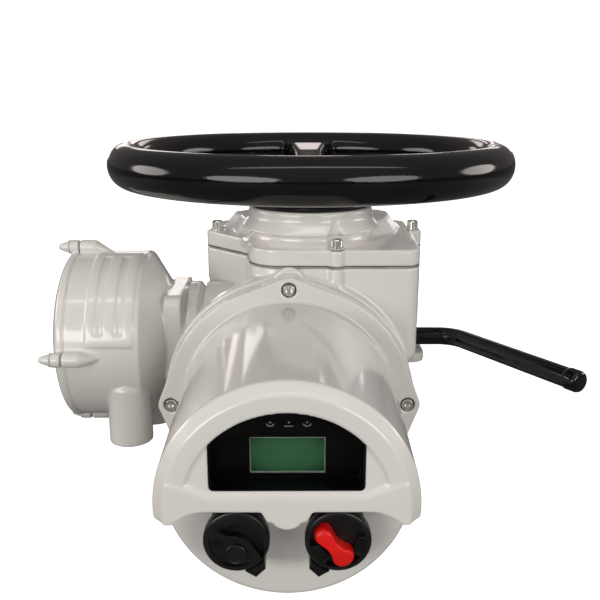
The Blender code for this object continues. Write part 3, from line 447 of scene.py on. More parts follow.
def steel(name, base, roughness):
    """Metal with the fine marks that turning and handling leave."""
    paint = Paint(name, base, roughness, metallic=1.0)
    low, mid, high = shades(base, 0.12)
    paint.colour(paint.noise(180.0, 5.0), (0.3, low), (0.5, mid), (0.7, high))
    paint.rough(paint.noise(260.0, 4.0), roughness * 0.7, roughness * 1.4)
    paint.bump(paint.noise(1400.0), 0.12, 0.0002)
    return paint.material


def plastic(name, dark, light, patches, roughness, grain, strength, specular):
    """Moulded satin plastic with a fine spark-eroded grain."""
    middle_colour = [(a + b) / 2 for a, b in zip(dark, light)]
    paint = Paint(name, middle_colour, roughness[0], Specular_IOR_Level=specular)
    paint.colour(paint.noise(patches), (0.3, dark), (0.7, light))
    paint.rough(paint.noise(300.0), *roughness)
    paint.bump(paint.noise(grain, 2.0), strength, 0.0002)
    return paint.material


def rubber():
    paint = Paint("black_rubber", (0.012, 0.012, 0.012), 0.75)
    paint.colour(paint.noise(60.0), (0.3, (0.010, 0.010, 0.010)), (0.7, (0.020, 0.020, 0.019)))
    paint.bump(paint.noise(1500.0), 0.3, 0.0003)
    return paint.material


def copper():
    """A varnished winding: fine turns that run round the stator."""
    paint = Paint("copper_winding", (0.5, 0.18, 0.06), 0.35, metallic=0.8)
    wave = paint.node("TexWave", Scale=420.0, Distortion=1.5)
    paint.link(paint.place, wave.inputs["Vector"])
    paint.colour(wave.outputs["Fac"], (0.2, (0.25, 0.07, 0.02)), (0.8, (0.62, 0.24, 0.09)))
    paint.bump(wave.outputs["Fac"], 0.5, 0.0005)
    return paint.material


def circuit_board():
    paint = Paint("circuit_board", (0.01, 0.12, 0.05), 0.35)
    cells = paint.node("TexBrick", Scale=90.0)
    paint.link(paint.place, cells.inputs["Vector"])
    paint.colour(cells.outputs["Fac"], (0.1, (0.008, 0.10, 0.04)), (0.9, (0.05, 0.25, 0.12)))
    paint.bump(cells.outputs["Fac"], 0.3, 0.0003)
    return paint.material


def screen():
    """A green display with painted light: an emission glow, brighter in the middle, that makes up for the light
    the glass pane holds back; with faint pixel rows.
    """
    paint = Paint("green_display", (0.03, 0.12, 0.045), 0.22)
    middle_x = (cover_middle.x + (LCD_LEFT + LCD_RIGHT) / 2) * MM
    middle_z = (cover_middle.z + (LCD_LOW + LCD_HIGH) / 2) * MM
    scale_x = 0.8 / ((LCD_RIGHT - LCD_LEFT) / 2 * MM)
    scale_z = 0.7 / ((LCD_HIGH - LCD_LOW) / 2 * MM)
    mapping = paint.node("Mapping")
    mapping.vector_type = "POINT"
    mapping.inputs["Scale"].default_value = (scale_x, 0.0, scale_z)
    mapping.inputs["Location"].default_value = (-middle_x * scale_x, 0.0, -middle_z * scale_z)
    paint.link(paint.place, mapping.inputs["Vector"])
    # Painted glow: a round gradient that makes the display brighter in the middle.
    painted_glow = paint.node("TexGradient")
    painted_glow.gradient_type = "SPHERICAL"
    paint.link(mapping.outputs["Vector"], painted_glow.inputs["Vector"])
    green = paint.ramp(painted_glow.outputs["Fac"], (0.0, (0.004, 0.020, 0.009)),
                       (0.35, (0.013, 0.050, 0.021)), (1.0, (0.018, 0.064, 0.027)))
    paint.link(green, paint.shader.inputs["Base Color"])
    # Painted light: the display's colour also drives an emission glow that stands in for light the pane holds
    # back.
    paint.link(green, paint.shader.inputs["Emission Color"])
    paint.shader.inputs["Emission Strength"].default_value = 0.7
    paint.bump(paint.noise(2400.0, 1.0), 0.05, 0.0001)
    return paint.material


def clear_window():
    paint = Paint("clear_window", (1.0, 1.0, 1.0), 0.02, Transmission_Weight=1.0, IOR=1.06)
    paint.rough(paint.noise(40.0, 4.0), 0.0, 0.05)
    paint.bump(paint.noise(12.0), 0.02, 0.001)
    return paint.material


def pale_marks():
    paint = Paint("pale_marks", (0.24, 0.27, 0.24), 0.5)
    paint.colour(paint.noise(400.0), (0.3, (0.18, 0.21, 0.18)), (0.7, (0.30, 0.33, 0.30)))
    return paint.material


def display_black():
    """The display tray's smooth black."""
    paint = Paint("display_black", (0.0012, 0.0016, 0.0014), 0.3, Specular_IOR_Level=0.15)
    paint.rough(paint.noise(80.0), 0.25, 0.4)
    paint.bump(paint.noise(900.0, 2.0), 0.03, 0.0002)
    return paint.material


BLACK_DARK, BLACK_LIGHT = (0.003, 0.003, 0.003), (0.006, 0.006, 0.006)
RED_DARK, RED_LIGHT = (0.74, 0.007, 0.005), (0.86, 0.010, 0.008)
MATERIALS = {
    "body_paint": grey_paint(),
    "black_gloss_paint": black_paint(),
    "fastener_steel": steel("stainless_steel", (0.80, 0.78, 0.75), 0.22),
    "machined_steel": steel("machined_steel", (0.45, 0.45, 0.46), 0.3),
    "bronze": steel("machined_bronze", (0.60, 0.36, 0.14), 0.32),
    "copper_winding": copper(),
    "seal_rubber": rubber(),
    "black_plastic": plastic("black_moulding", BLACK_DARK, BLACK_LIGHT, 90.0, (0.24, 0.34), 2600.0, 0.18, 0.5),
    "red_plastic": plastic("red_moulding", RED_DARK, RED_LIGHT, 70.0, (0.28, 0.4), 1800.0, 0.12, 0.4),
    "display_glass": clear_window(),
    "green_screen": screen(),
    "circuit_board": circuit_board(),
}
DISPLAY_BLACK, MARKS, GASKET = display_black(), pale_marks(), gasket_sheet()


def finish_nodes():
    """Every CAD node gets its slot's material."""
    for row in frame["record"]["subparts"]:
        node = frame["nodes"][row["node"]]
        node.data.materials.clear()
        node.data.materials.append(MATERIALS[row["material_slot"]])


# ---------- outlines


def case_outline():
    return (
        arc(21, -58, 7.25, -156, -24, 20)
        + arc(79.7, -49, 12, -90, 0, 12)
        + arc(98, 39, 8.5, -97, 97, 24)
        + arc(82, 85, 15, 0, 45, 6)
        + arc(70, 104, 9, -10, 190, 24)
        + arc(-62, 104, 9, -10, 190, 24)
        + arc(-75, 85, 15, 110, 180, 10)
        + arc(-87.5, 39, 10, 104, 215, 16)
        + [(-57, -8)]
        + arc(-25, -32, 29, 180, 270, 20)
    )


def cavity_outline():
    return (
        arc(75, -43, 8, -90, 0, 6)
        + arc(79, 82, 10, 0, 90, 6)
        + arc(-70, 80, 12, 90, 180, 6)
        + [(-82, 52), (-74, 32), (-48, -6)]
        + arc(-25, -32, 21, 180, 270, 10)
    )


def eared_disc(radius, ear_radius):
    """A round flange drawn out to four ears on the screw circle by straight tangents."""
    lean = math.degrees(math.acos((radius - ear_radius) / EAR_CIRCLE))
    points = []
    for turn in (0, 90, 180, 270):
        x, y, _ = circle_place(EAR_CIRCLE, turn)
        points += arc(x, y, ear_radius, turn - lean, turn + lean, 12)
        points += arc(0, 0, radius, turn + lean, turn + 90 - lean, 16)
    return points


def window_outline(margin):
    radius, half, bottom = WINDOW_RADIUS - margin, WINDOW_HALF - margin, WINDOW_BOTTOM + margin
    shoulder = math.degrees(math.acos(half / radius))
    corner = 2.5
    points = arc(0, 0, radius, shoulder, 180 - shoulder, 40)
    points += arc(-half + corner, bottom + corner, corner, 180, 270, 5)
    return points + arc(half - corner, bottom + corner, corner, 270, 360, 5)


# ---------- base, gear case and top cover


def screw_holes(shifts, low, high, place=WORLD):
    """One plain cutter for each screw."""
    return [solid(disc(SCREW_HOLE, low, high, FINE), place, shift) for shift in shifts]


def stepped_holes(shifts, low, seat, high, radius, place=WORLD):
    """One cutter for each screw, with a wider seat for its head."""
    profile = [(0, low), (SCREW_HOLE, low), (SCREW_HOLE, seat), (radius, seat), (radius, high), (0, high)]
    return [solid(turned(profile, FINE), place, shift) for shift in shifts]


def base_flange():
    profile = [(BASE_BORE, 0), (BASE_RADIUS, 0), (BASE_RADIUS, BASE_HEIGHT), (BASE_BORE, BASE_HEIGHT)]
    flange = solid(turned(rounded(profile, 1.5)))
    cutters = []
    mouth = TAPPED_RADIUS + 1
    hole = [(0, -1), (mouth, -1), (mouth, 0), (TAPPED_RADIUS, 1), (TAPPED_RADIUS, TAPPED_DEPTH)]
    for turn in (45, 135, 225, 315):
        tapped = turned(hole + [(0, TAPPED_DEPTH + 2.5)], SMALL)
        cutters.append(solid(tapped, shift=circle_place(HOLE_CIRCLE, turn)))
    cutters += stepped_holes(around(HOLE_CIRCLE), BASE_HEIGHT + 1, 8, -1, SCREW_HEAD + 2 * GAP)
    finish_piece(cut(flange, *cutters), "base_flange_casting", "casing", "body_paint", ["base_flange"])


def gear_case():
    lower = rounded_rectangle(-80, 74, -48, 92, 26)
    ledge = rounded_rectangle(-60, 103.5, -32, 96, 12)
    outline = case_outline()
    sides = [[(x * size, y * size, z) for x, y in outline] for size, z in CASE_EDGE]
    shoulder = [(0, 20), (72, 30), (104, CASE_FLANGE_BACK + 1), (0, CASE_FLANGE_BACK + 1)]
    foot = [(0, CASE_BOTTOM), (BASE_RADIUS, CASE_BOTTOM), (BASE_RADIUS, 46), (58, 60), (0, 60)]
    flange = prism(eared_disc(CASE_FLANGE_RADIUS, EAR_RADIUS - 0.6), CASE_FLANGE_BACK, CASE_FLANGE_FRONT)
    case = join(
        solid(lofted(sides)),
        solid(prism(ledge, LEDGE_BOTTOM, LEDGE_BOTTOM + 8.5)),
        solid(prism(lower, 54, UPPER_BOTTOM + 1)),
        solid(turned(foot)),
        solid(flange, COVER),
        solid(turned(shoulder), COVER),
        solid(disc(13, 61.5, CASE_FLANGE_FRONT + 0.8), COVER, (0, EAR_CIRCLE + 2.0, 0)),
        solid(disc(TERMINAL_NECK + 2, 40, TERMINAL_START + 1), TERMINAL),
        solid(disc(58, 78, REAR_PAD), MOTOR),
    )
    cut(case, solid(prism(rounded_rectangle(-72, 66, -42, 84, 18), FLOOR_Z, UPPER_FLOOR_Z + 1)))
    cut(case, solid(prism(cavity_outline(), UPPER_FLOOR_Z, CASE_TOP + 1)))
    join(case, solid(disc(18.5, -45, -25.5, SMALL), MOTOR))
    bore = [(0, CASE_BOTTOM - 1), (36, CASE_BOTTOM - 1), (36, 42), (42.3, 42)]
    bore += [(42.3, FLOOR_Z + 1), (0, FLOOR_Z + 1)]
    clear = ROD_RADIUS + 2 * GAP
    lever_bore = [(0, 58), (12.3, 58), (12.3, 92.5), (clear, 92.5), (clear, 110), (0, 110)]
    cutters = [
        solid(turned(bore)),
        solid(disc(14, -36, -24, SMALL), MOTOR),
        solid(disc(14, 82, REAR_PAD + 1, SMALL), MOTOR),
        solid(disc(38, 60, TERMINAL_START + 2), TERMINAL),
        solid(disc(TERMINAL_NECK + 8, TERMINAL_START - GAP, TERMINAL_START + 24), TERMINAL),
        solid(disc(86, 58, CASE_FLANGE_FRONT + 1), COVER),
        solid(turned(lever_bore, SMALL), LEVER),
    ]
    cutters += screw_holes(TOP_SCREWS, 234, CASE_TOP + 1)
    cutters += screw_holes(around(EAR_CIRCLE), 53, CASE_FLANGE_FRONT + 1, COVER)
    cutters += screw_holes(around(HOLE_CIRCLE), CASE_BOTTOM - 1, 38)
    finish_casting(cut(case, *cutters), "gear_case", 1.5, 5)


def gasket():
    low, high = CASE_TOP - 1, CASE_TOP + 3
    sheet = solid(prism(case_outline(), CASE_TOP + GAP, CASE_TOP + 1.3))
    cut(sheet, solid(prism(cavity_outline(), low, high)), *screw_holes(TOP_SCREWS, low, high))
    finish_piece(sheet, "gasket_sheet", "casing", "seal_rubber", ["top_cover_gasket"], material=GASKET)


def plateau_outline(inset):
    """The raised middle of the top cover, drawn in towards its centre by a share."""
    outline = [(-76, 52), (-83, 62), (-83, 80), (-68, 94), (76, 94), (88, 82), (88, 54), (80, 20)]
    outline += [(62, 0), (30, -14), (-30, -14), (-58, 6), (-70, 28)]
    return [(x * (1 - inset), 35 + (y - 35) * (1 - inset)) for x, y in outline]


def top_cover():
    neck = [(0, 260), (62, 260), (62, 266), (57, 267.5), (54.5, 270), (53.5, 273), (53.5, 276.3)]
    neck += [(54.2, 277.3), (61.0, 277.3), (61.5, 278.3), (58.4, 283), (56.2, 286), (55.2, 288.3)]
    neck += [(55, NECK_TOP - 1), (54, NECK_TOP), (0, NECK_TOP)]
    plateau = [[(x, y, PLATE_TOP - 1) for x, y in plateau_outline(0)]]
    plateau.append([(x, y, PLATEAU_TOP) for x, y in plateau_outline(0.13)])
    cover = solid(prism(case_outline(), PLATE_BOTTOM, PLATE_TOP))
    join(cover, solid(lofted(plateau)), solid(turned(neck)))
    bore = [(0, 250), (40, 250), (40, 272.7), (34, 272.7), (34, 276.7)]
    bore += [(46.3, 276.7), (46.3, 298), (0, 298)]
    cutters = [solid(turned(bore))]
    cutters += stepped_holes(TOP_SCREWS, 250, PLATE_TOP - SPOT_DEPTH, 290, SCREW_WASHER + 0.8)
    finish_casting(cut(cover, *cutters), "top_cover", 1.2, 4)


# ---------- screws


def socket_screw(shank, washer, painted, raised):
    """One socket-head screw with its chamfers, hexagon and washer; its seat is at zero along Z."""
    lift = SCREW_WASHER_HEIGHT if washer else 0.0
    top = lift + SCREW_HEAD_HEIGHT + raised
    profile = [(0, -shank), (SCREW_SHANK - 0.6, -shank), (SCREW_SHANK, 0.8 - shank), (SCREW_SHANK, -0.01)]
    if washer:
        profile += [(SCREW_WASHER - 0.2, 0), (SCREW_WASHER, 0.25)]
        profile += [(SCREW_WASHER, lift - 0.25), (SCREW_WASHER - 0.3, lift)]
    if painted:
        profile += [(SCREW_HEAD, lift), (SCREW_HEAD - 0.2, lift + 2), (SCREW_HEAD - 2.2, top - 1)]
        return solid(turned(profile + [(SCREW_HEAD - 3.2, top - 0.2), (0, top)], 40))
    if washer:
        lip = SCREW_HEAD + 0.5
        profile += [(lip, lift), (lip, lift + 1.5), (SCREW_HEAD - 0.4, lift + 1.6)]
        lift += raised
    profile += [(SCREW_HEAD - 0.4, lift), (SCREW_HEAD, lift + 0.3), (SCREW_HEAD, top - 0.9)]
    profile += [(SCREW_HEAD - 0.35, top - 0.35), (SCREW_HEAD - 0.9, top), (0, top)]
    screw = solid(turned(profile, 40))
    pocket = [(0, top - 4.4), (SCREW_HEXAGON, top - 3.8), (SCREW_HEXAGON, top + 1), (0, top + 1)]
    mouth = [(0, top - 1.2), (SCREW_HEXAGON + 0.8, top + 0.5), (0, top + 0.5)]
    cut(screw, solid(turned(pocket, 6)))
    return cut(screw, solid(turned(mouth, FINE)))


def screws():
    """All the screws; the last value of a set is how much higher its heads stand than a plain one's."""
    top_places = [(x, y, PLATE_TOP - SPOT_DEPTH + GAP) for x, y, _ in TOP_SCREWS]
    sets = (
        ("top_screw", "top_cover_screw", 31, WORLD, top_places, 1.8),
        ("front_screw", "front_cover_screw", 20, COVER, around(EAR_CIRCLE, FLANGE_FRONT - 10 + GAP), 3.2),
        ("terminal_screw", "terminal_cover_screw", 24, TERMINAL, around(LUG_CIRCLE, LUG_TOP + GAP), 3.0),
        ("flange_screw", "base_screw", 28, WORLD, around(HOLE_CIRCLE, 8 - GAP), 0.0),
    )
    for name, node, shank, place, shifts, raised in sets:
        painted = name == "terminal_screw"
        washer = painted or name == "top_screw"
        material = MATERIALS["body_paint"] if painted else None
        turn = Matrix.Rotation(math.pi, 4, "X") if name == "flange_screw" else WORLD
        for number, shift in enumerate(shifts, 1):
            screw = socket_screw(shank, washer, painted, raised)
            spot = Matrix.Translation((place @ Vector(shift)) * MM)
            screw.data.transform(spot @ place.to_3x3().to_4x4() @ turn)
            replaced = [f"{node}_{number}"]
            finish_piece(screw, f"{name}_{number}", "casing", "fastener_steel", replaced, 25, material)


# ---------- local controls


def hood_edge():
    """The right half of the hood's lower edge: a middle lobe, a knob's notch, an arch and a step."""
    flat, drop, lobe = 0.6, -7.0, -11.8
    steps = [i / 8 * math.pi / 2 for i in range(9)]
    middle_lobe = [(8.5 * math.sin(a), drop + (lobe - drop) * math.cos(a)) for a in steps]
    arch = [(50.7 + 22.9 * t, flat - 9.6 * t * t) for t in [i / 10 for i in range(11)]]
    return middle_lobe + [(12.6, drop), (16.3, flat)] + arch + [(81, -8), (95, -8)]


def recess_outline():
    right = hood_edge()
    left = [(-x, y) for x, y in reversed(right[1:])]
    return left + right + [(95, -95), (-95, -95)]


def cheek_outline():
    rim = arc(0, 0, WINDOW_RADIUS, CREASE_ANGLE, 180 - CREASE_ANGLE, 48)
    return rim + [(-WINDOW_HALF, CREASE_Y), (WINDOW_HALF, CREASE_Y)]


def upper_face_outline():
    """Everything above the crease that runs out from the window's foot to the rim on both sides."""
    right = [(WINDOW_HALF, CREASE_Y), (74, 19.5), (96, 27.5), (96, 96)]
    return right + [(-x, y) for x, y in reversed(right)]


def disc_edge():
    """A ring that rounds the edge of the disc below the hood."""
    profile = [(81.5, DISC_Z + 0.5), (84.0, DISC_Z - 1.2), (85.6, DISC_Z - 4), (86.6, DISC_Z - 9)]
    edge = turned(profile + [(92, DISC_Z - 9), (92, DISC_Z + 0.5)])
    parts = edge.verts[:] + edge.edges[:] + edge.faces[:]
    bmesh.ops.bisect_plane(edge, geom=parts, plane_co=(0, -9, 0), plane_no=(0, 1, 0), clear_outer=True)
    bmesh.ops.holes_fill(edge, edges=edge.edges)
    bmesh.ops.recalc_face_normals(edge, faces=edge.faces)
    return edge


def front_cover():
    barrel = [(0, FLANGE_BACK), (BARREL_RADIUS, FLANGE_BACK), (BARREL_RADIUS, FLANGE_FRONT)]
    barrel += [(BARREL_END_RADIUS, BARREL_END), (FACE_RADIUS, FACE_Z), (0, FACE_Z)]
    cover = solid(turned(barrel, 192), COVER)
    join(cover, solid(prism(eared_disc(FLANGE_RADIUS, EAR_RADIUS), FLANGE_BACK, FLANGE_FRONT), COVER))
    hollow = [(0, 60), (84.5, 60), (81, DISC_BACK), (0, DISC_BACK)]
    cutters = [
        solid(turned(hollow), COVER),
        solid(prism(recess_outline(), DISC_Z, FACE_Z + 3), COVER),
        solid(prism(window_outline(0), DISC_BACK - 3, FACE_Z + 3), COVER),
        solid(prism(cheek_outline(), FACE_Z - CHEEK_DEPTH, FACE_Z + 3), COVER),
        solid(prism(upper_face_outline(), FACE_Z - 0.8, FACE_Z + 3), COVER),
        solid(disc_edge(), COVER),
    ]
    for side in (-1, 1):
        hole = disc(4.5, DISC_BACK - 2, DISC_Z + 2, SMALL)
        cutters.append(solid(hole, COVER, (side * KNOB_X, KNOB_Y, 0)))
    seat = FLANGE_FRONT - 10
    cutters += stepped_holes(around(EAR_CIRCLE), FLANGE_BACK - 1, seat, seat + 30, EAR_HOLE, COVER)
    finish_casting(cut(cover, *cutters), "front_cover", 1.1, 3)


def lcd_frame(inset, radius, low, high):
    """A rounded bar over the display's outline, drawn in by an inset."""
    sides = (LCD_LEFT + inset, LCD_RIGHT - inset, LCD_LOW + inset, LCD_HIGH - inset)
    return solid(prism(rounded_rectangle(*sides, radius), low, high), COVER)


def display():
    tray = solid(prism(window_outline(GAP), DISPLAY_BACK, FACE_Z - CHEEK_DEPTH - GAP), COVER)
    inside = solid(prism(window_outline(GAP + 1.2), DISPLAY_BACK + 2, FACE_Z), COVER)
    opening = solid(box(LCD_LEFT, LCD_RIGHT, LCD_LOW, LCD_HIGH, DISPLAY_BACK - 1, FACE_Z), COVER)
    cut(tray, inside, opening)
    finish_piece(tray, "display_tray", "casing", "black_plastic", ["display_bezel"], material=DISPLAY_BLACK)
    pane = solid(prism(window_outline(GAP + 1.5), DISPLAY_BACK + 2 + GAP, DISPLAY_BACK + 4 + GAP), COVER)
    finish_piece(bevel(pane, 0.3), "display_pane", "casing", "display_glass", ["display_glass"])
    low, high = DISPLAY_BACK - 9, DISPLAY_BACK - GAP
    module = solid(box(LCD_LEFT - 4, LCD_RIGHT + 4, LCD_LOW - 1, LCD_HIGH + 6, low, high), COVER)
    finish_piece(module, "display_module", "casing", "green_screen", ["lcd_module"])
    edging = lcd_frame(0.2, 0.6, DISPLAY_BACK, DISPLAY_BACK + 1.6)
    cut(edging, lcd_frame(0.7, 0.4, DISPLAY_BACK - 1, DISPLAY_BACK + 3))
    finish_piece(edging, "display_edging", "casing", "green_screen", material=MARKS)


def signs():
    """Three plain indicator signs above the display: an arc, a dash and an arc, each under a dot."""
    low, high = DISPLAY_BACK + 4 + GAP, DISPLAY_BACK + 4.2 + GAP
    y = 54.5
    for number, (x, kind) in enumerate(((-10.5, "arc"), (1.3, "dash"), (12.8, "arc")), 1):
        if kind == "arc":
            outline = arc(x, y, 2.9, 200, 340, 14) + arc(x, y, 2.3, 340, 200, 14)
        else:
            outline = [(x - 2.8, y - 2.9), (x + 2.8, y - 2.9), (x + 2.8, y - 2.3), (x - 2.8, y - 2.3)]
        sign = solid(prism(outline, low, high), COVER)
        join(sign, solid(disc(0.6, low, high, FINE), COVER, (x, y, 0)))
        finish_piece(sign, f"indicator_sign_{number}", "casing", "display_glass", material=MARKS)


def mirrored(outline, side):
    return outline if side < 0 else [(-x, y) for x, y in outline]


def lock_ring(name, node, side):
    """The fixed ring behind a knob, with a ribbed post beside the knob that takes a padlock."""
    low, high = DISC_Z + GAP, LOCK_TOP
    place = (side * KNOB_X, KNOB_Y, 0)
    arm = mirrored([(0, 0), (5.4, -21.4), (12.6, -26), (18.2, -20.6), (19.6, -14)], side)
    post = arc(0, 0, KNOB_RADIUS + 3 * GAP, -76, -38, 12) + [(18.9, -20.2), (12.6, -26.4)]
    rim = rounded([(0, low), (LOCK_RADIUS, low), (LOCK_RADIUS, high), (0, high)], 0.8)
    plate = solid(turned(rim, MEDIUM), COVER, place)
    join(plate, solid(prism(arm, low, high - GAP), COVER, place))
    join(plate, solid(prism(mirrored(post, side), low + GAP, KNOB_FRONT - 1), COVER, place))
    grooves = []
    for step in range(4):
        x, y = 13.2 + 1.3 * step, -24.6 + 1.15 * step
        groove = mirrored([(x - 4.2, y + 3.4), (x - 3.8, y + 3.9), (x + 0.4, y - 0.1), (x, y - 0.6)], side)
        grooves.append(solid(prism(groove, KNOB_FRONT - 1.7, KNOB_FRONT), COVER, place))
    cut(plate, solid(disc(5, DISC_Z - 1, high + 1, SMALL), COVER, place), *grooves)
    finish_piece(bevel(plate, 0.35), name, "casing", "black_plastic", [node])


def knob_body(place):
    """A flanged knob on its spindle."""
    back, rim = LOCK_TOP + GAP, KNOB_FRONT - 8
    profile = [(0, 204), (4, 204), (4, back), (KNOB_STEM, back), (KNOB_STEM, rim - 2), (KNOB_RADIUS, rim)]
    profile += [(KNOB_RADIUS, KNOB_FRONT - 2), (KNOB_RADIUS - 0.6, KNOB_FRONT - 0.6)]
    profile += [(KNOB_RADIUS - 2, KNOB_FRONT), (0, KNOB_FRONT)]
    return solid(turned(profile, MEDIUM), place)


def turned_place(place, angle):
    return place @ Matrix.Rotation(math.radians(angle), 4, "Z")


def selector_knob():
    """A deep crescent leaves an S-shaped ridge across the knob; a ringed boss and fine ribs lie below it."""
    top = KNOB_FRONT
    crescent = curved([(-12.6, 8.4), (-6, 12), (1.5, 13.6), (9, 12), (14.6, 7), (17.6, 0), (18.2, -8),
                       (16.7, -11.8), (13.5, -7), (11.5, -4), (7.6, 0.5), (1.2, 4.2), (-6, 4.8)])
    hollow = curved([(-17.6, 2), (-11, 1.6), (-4, 1.4), (3, -0.8), (8, -5), (10.6, -10), (11, -14.2),
                     (4, -17.6), (-5, -17.6), (-12.5, -13.2), (-16.8, -6)])
    knob = knob_body(SELECTOR)
    for outline, depth in ((crescent, 6), (hollow, 2.2)):
        cut(knob, solid(prism(outline, top - depth, top + 1), SELECTOR))
    rib_place = turned_place(SELECTOR, -12)
    block = solid(box(-16.5, -8, -6.2, 0.2, top - 3, top - 0.6), rib_place)
    grooves = [box(-17, -7, y, y + 0.8, top - 1.4, top) for y in (-5.4, -3.8, -2.2, -0.6)]
    cut(block, *[solid(groove, rib_place) for groove in grooves])
    boss = [(0, top - 3), (7.2, top - 3), (7.2, top - 0.3), (6.8, top), (6.0, top)]
    boss += [(5.6, top - 0.6), (0, top - 0.6)]
    join(knob, block, solid(turned(boss), SELECTOR, (-0.6, -9.6, 0)))
    name = "selector_knob_moulding"
    finish_piece(bevel(knob, 0.6, 3), name, "selector", "black_plastic", ["selector_knob"])


def control_knob():
    """A dished knob with ribbed shoulders under a red grip that narrows at its middle."""
    top = KNOB_FRONT
    knob = cut(knob_body(CONTROL), solid(disc(18.5, top - 6, top + 1, MEDIUM), CONTROL))
    for turn in (-14, 218):
        rib_place = turned_place(CONTROL, turn)
        shoulder = arc(0, 0, 18.9, -26, 26, 12) + [(11.5, 5.5), (11.5, -5.5)]
        join(knob, solid(prism(shoulder, top - 7, top - 1), rib_place))
        grooves = [box(11, 18, y, y + 0.8, top - 1.9, top + 1) for y in (-4, -2, 0, 2, 4)]
        cut(knob, *[solid(groove, rib_place) for groove in grooves])
    name = "control_knob_moulding"
    finish_piece(bevel(knob, 0.45, 3), name, "control", "black_plastic", ["control_knob"])
    place = turned_place(CONTROL @ Matrix.Translation((-3.0, -2.8, 0)), -50)
    upper = [(16.3, 2.4), (13.6, 6.4), (9, 7.3), (4.2, 5.3), (-1.5, 4.3), (-6.5, 5.4), (-11.5, 5.9)]
    lower = [(-12.5, -5.7), (-7, -5.2), (-2, -4.3), (3.6, -5.0), (9, -7.2), (13.8, -6), (16.3, -2)]
    outline = curved(upper + [(-15.6, 3.4), (-16, -2.4)] + lower, 5)
    layers = ((GAP - 6, 1.0), (1.2, 0.98), (2.8, 0.92), (3.7, 0.82), (4.0, 0.66))
    rings = [[(x * size, y * size, top + z) for x, y in outline] for z, size in layers]
    grip = solid(lofted(rings), place)
    finish_piece(grip, "control_grip_moulding", "control", "red_plastic", ["control_knob_grip"], 50)


# ---------- terminal compartment


def terminal_lugs(low, high, taper=0.0):
    """Four lugs on the compartment's rim, tapering into its side where a taper is given."""
    lugs = []
    for x, y, _ in around(LUG_CIRCLE):
        rings = [[(px, py, z) for px, py in circle(LUG_RADIUS, SMALL, x, y)] for z in (low, high)]
        if taper:
            rings.insert(0, [(px, py, low - taper) for px, py in circle(1, SMALL, x * 0.915, y * 0.915)])
        lugs.append(solid(lofted(rings), TERMINAL))
    return lugs


def entry_bore(x, depth, low):
    return solid(bar((x, low - 1, depth), (x, -42, depth), ENTRY_BORE), TERMINAL)


def entry_boss(x, depth, low):
    """A cable entry: a round boss that leans into the compartment's side at its top."""
    path = [(x, low, depth), (x, -34, depth), (x * 0.9, -2, depth)]
    radii = [ENTRY_RADIUS, ENTRY_RADIUS, ENTRY_RADIUS - 10]
    return solid(swept(path, radii, MEDIUM), TERMINAL)


def ribbed_pad():
    """The raised pad on the compartment's side, with two shallow channels along its curve."""
    low, high, inner = 152, 192, TERMINAL_RADIUS - 2
    section = [(inner, low), (PAD_RADIUS, low), (PAD_RADIUS, high), (inner, high)]
    pad = solid(sector(section, 7, 84, 60), TERMINAL)
    channels = []
    for start in (160, 177):
        end = start + 7.5
        section = [(PAD_FLOOR, start), (PAD_RADIUS + 1, start), (PAD_RADIUS + 1, end), (PAD_FLOOR, end)]
        channels.append(solid(sector(section, 14, 77, 50), TERMINAL))
    return cut(pad, *channels)


def terminal_housing():
    outer = [(0, TERMINAL_START), (43, TERMINAL_START), (43, 99), (TERMINAL_NECK + 2, 102)]
    outer += [(TERMINAL_NECK + 2, 111), (43.5, 111.6), (43.5, 128), (51, 131.6), (TERMINAL_RADIUS, 148)]
    outer += [(TERMINAL_RADIUS, TERMINAL_RIM), (0, TERMINAL_RIM)]
    housing = solid(turned(outer), TERMINAL)
    square = rounded_rectangle(-44.5, 44.5, -44.5, 44.5, 9)
    pieces = [solid(prism(square, 115, 130), TERMINAL), ribbed_pad()]
    pieces += terminal_lugs(TERMINAL_RIM - LUG_LENGTH, TERMINAL_RIM - GAP, LUG_TAPER)
    pieces += [entry_boss(*entry) for entry in ENTRIES]
    join(housing, *pieces)
    rim = TERMINAL_RIM + 1
    hollow = [(0, 155), (TERMINAL_HOLLOW, 155), (TERMINAL_HOLLOW, rim), (0, rim)]
    cutters = [solid(turned(hollow), TERMINAL), solid(disc(38, TERMINAL_START - 1, 156), TERMINAL)]
    cutters += [entry_bore(*entry) for entry in ENTRIES]
    cutters += screw_holes(around(LUG_CIRCLE), 195, rim, TERMINAL)
    finish_casting(cut(housing, *cutters), "terminal_housing", 1.1, 4)


def terminal_cover():
    """A shallow dome whose lip closes over the seal."""
    back, lip, radius = TERMINAL_COVER_BACK, TERMINAL_RIM + GAP, TERMINAL_COVER_RADIUS
    shell = [(TERMINAL_HOLLOW, back), (radius - 2.2, back), (radius - 2.2, lip), (radius, lip)]
    shell += [(radius, 216.5), (76, 218.3), (73, 220), (67, 222.4), (60, 224.5), (50, 227), (40, 229)]
    shell += [(30, 230.4), (20, 231.5), (10, 232.1), (0, 232.3)]
    shell += [(0, 227), (38, 224), (58, 219.5), (TERMINAL_HOLLOW, 216)]
    cover = solid(turned(shell), TERMINAL)
    join(cover, *terminal_lugs(lip + GAP, LUG_TOP))
    cut(cover, *screw_holes(around(LUG_CIRCLE), lip - 1, 230, TERMINAL))
    finish_casting(cover, "terminal_cover", 0.9, 3)
    bead = solid(ring(radius - 2, radius - 0.7, TERMINAL_RIM - 0.5, lip + 0.7), TERMINAL)
    finish_piece(bead, "terminal_paint_bead", "casing", "body_paint")


# ---------- motor


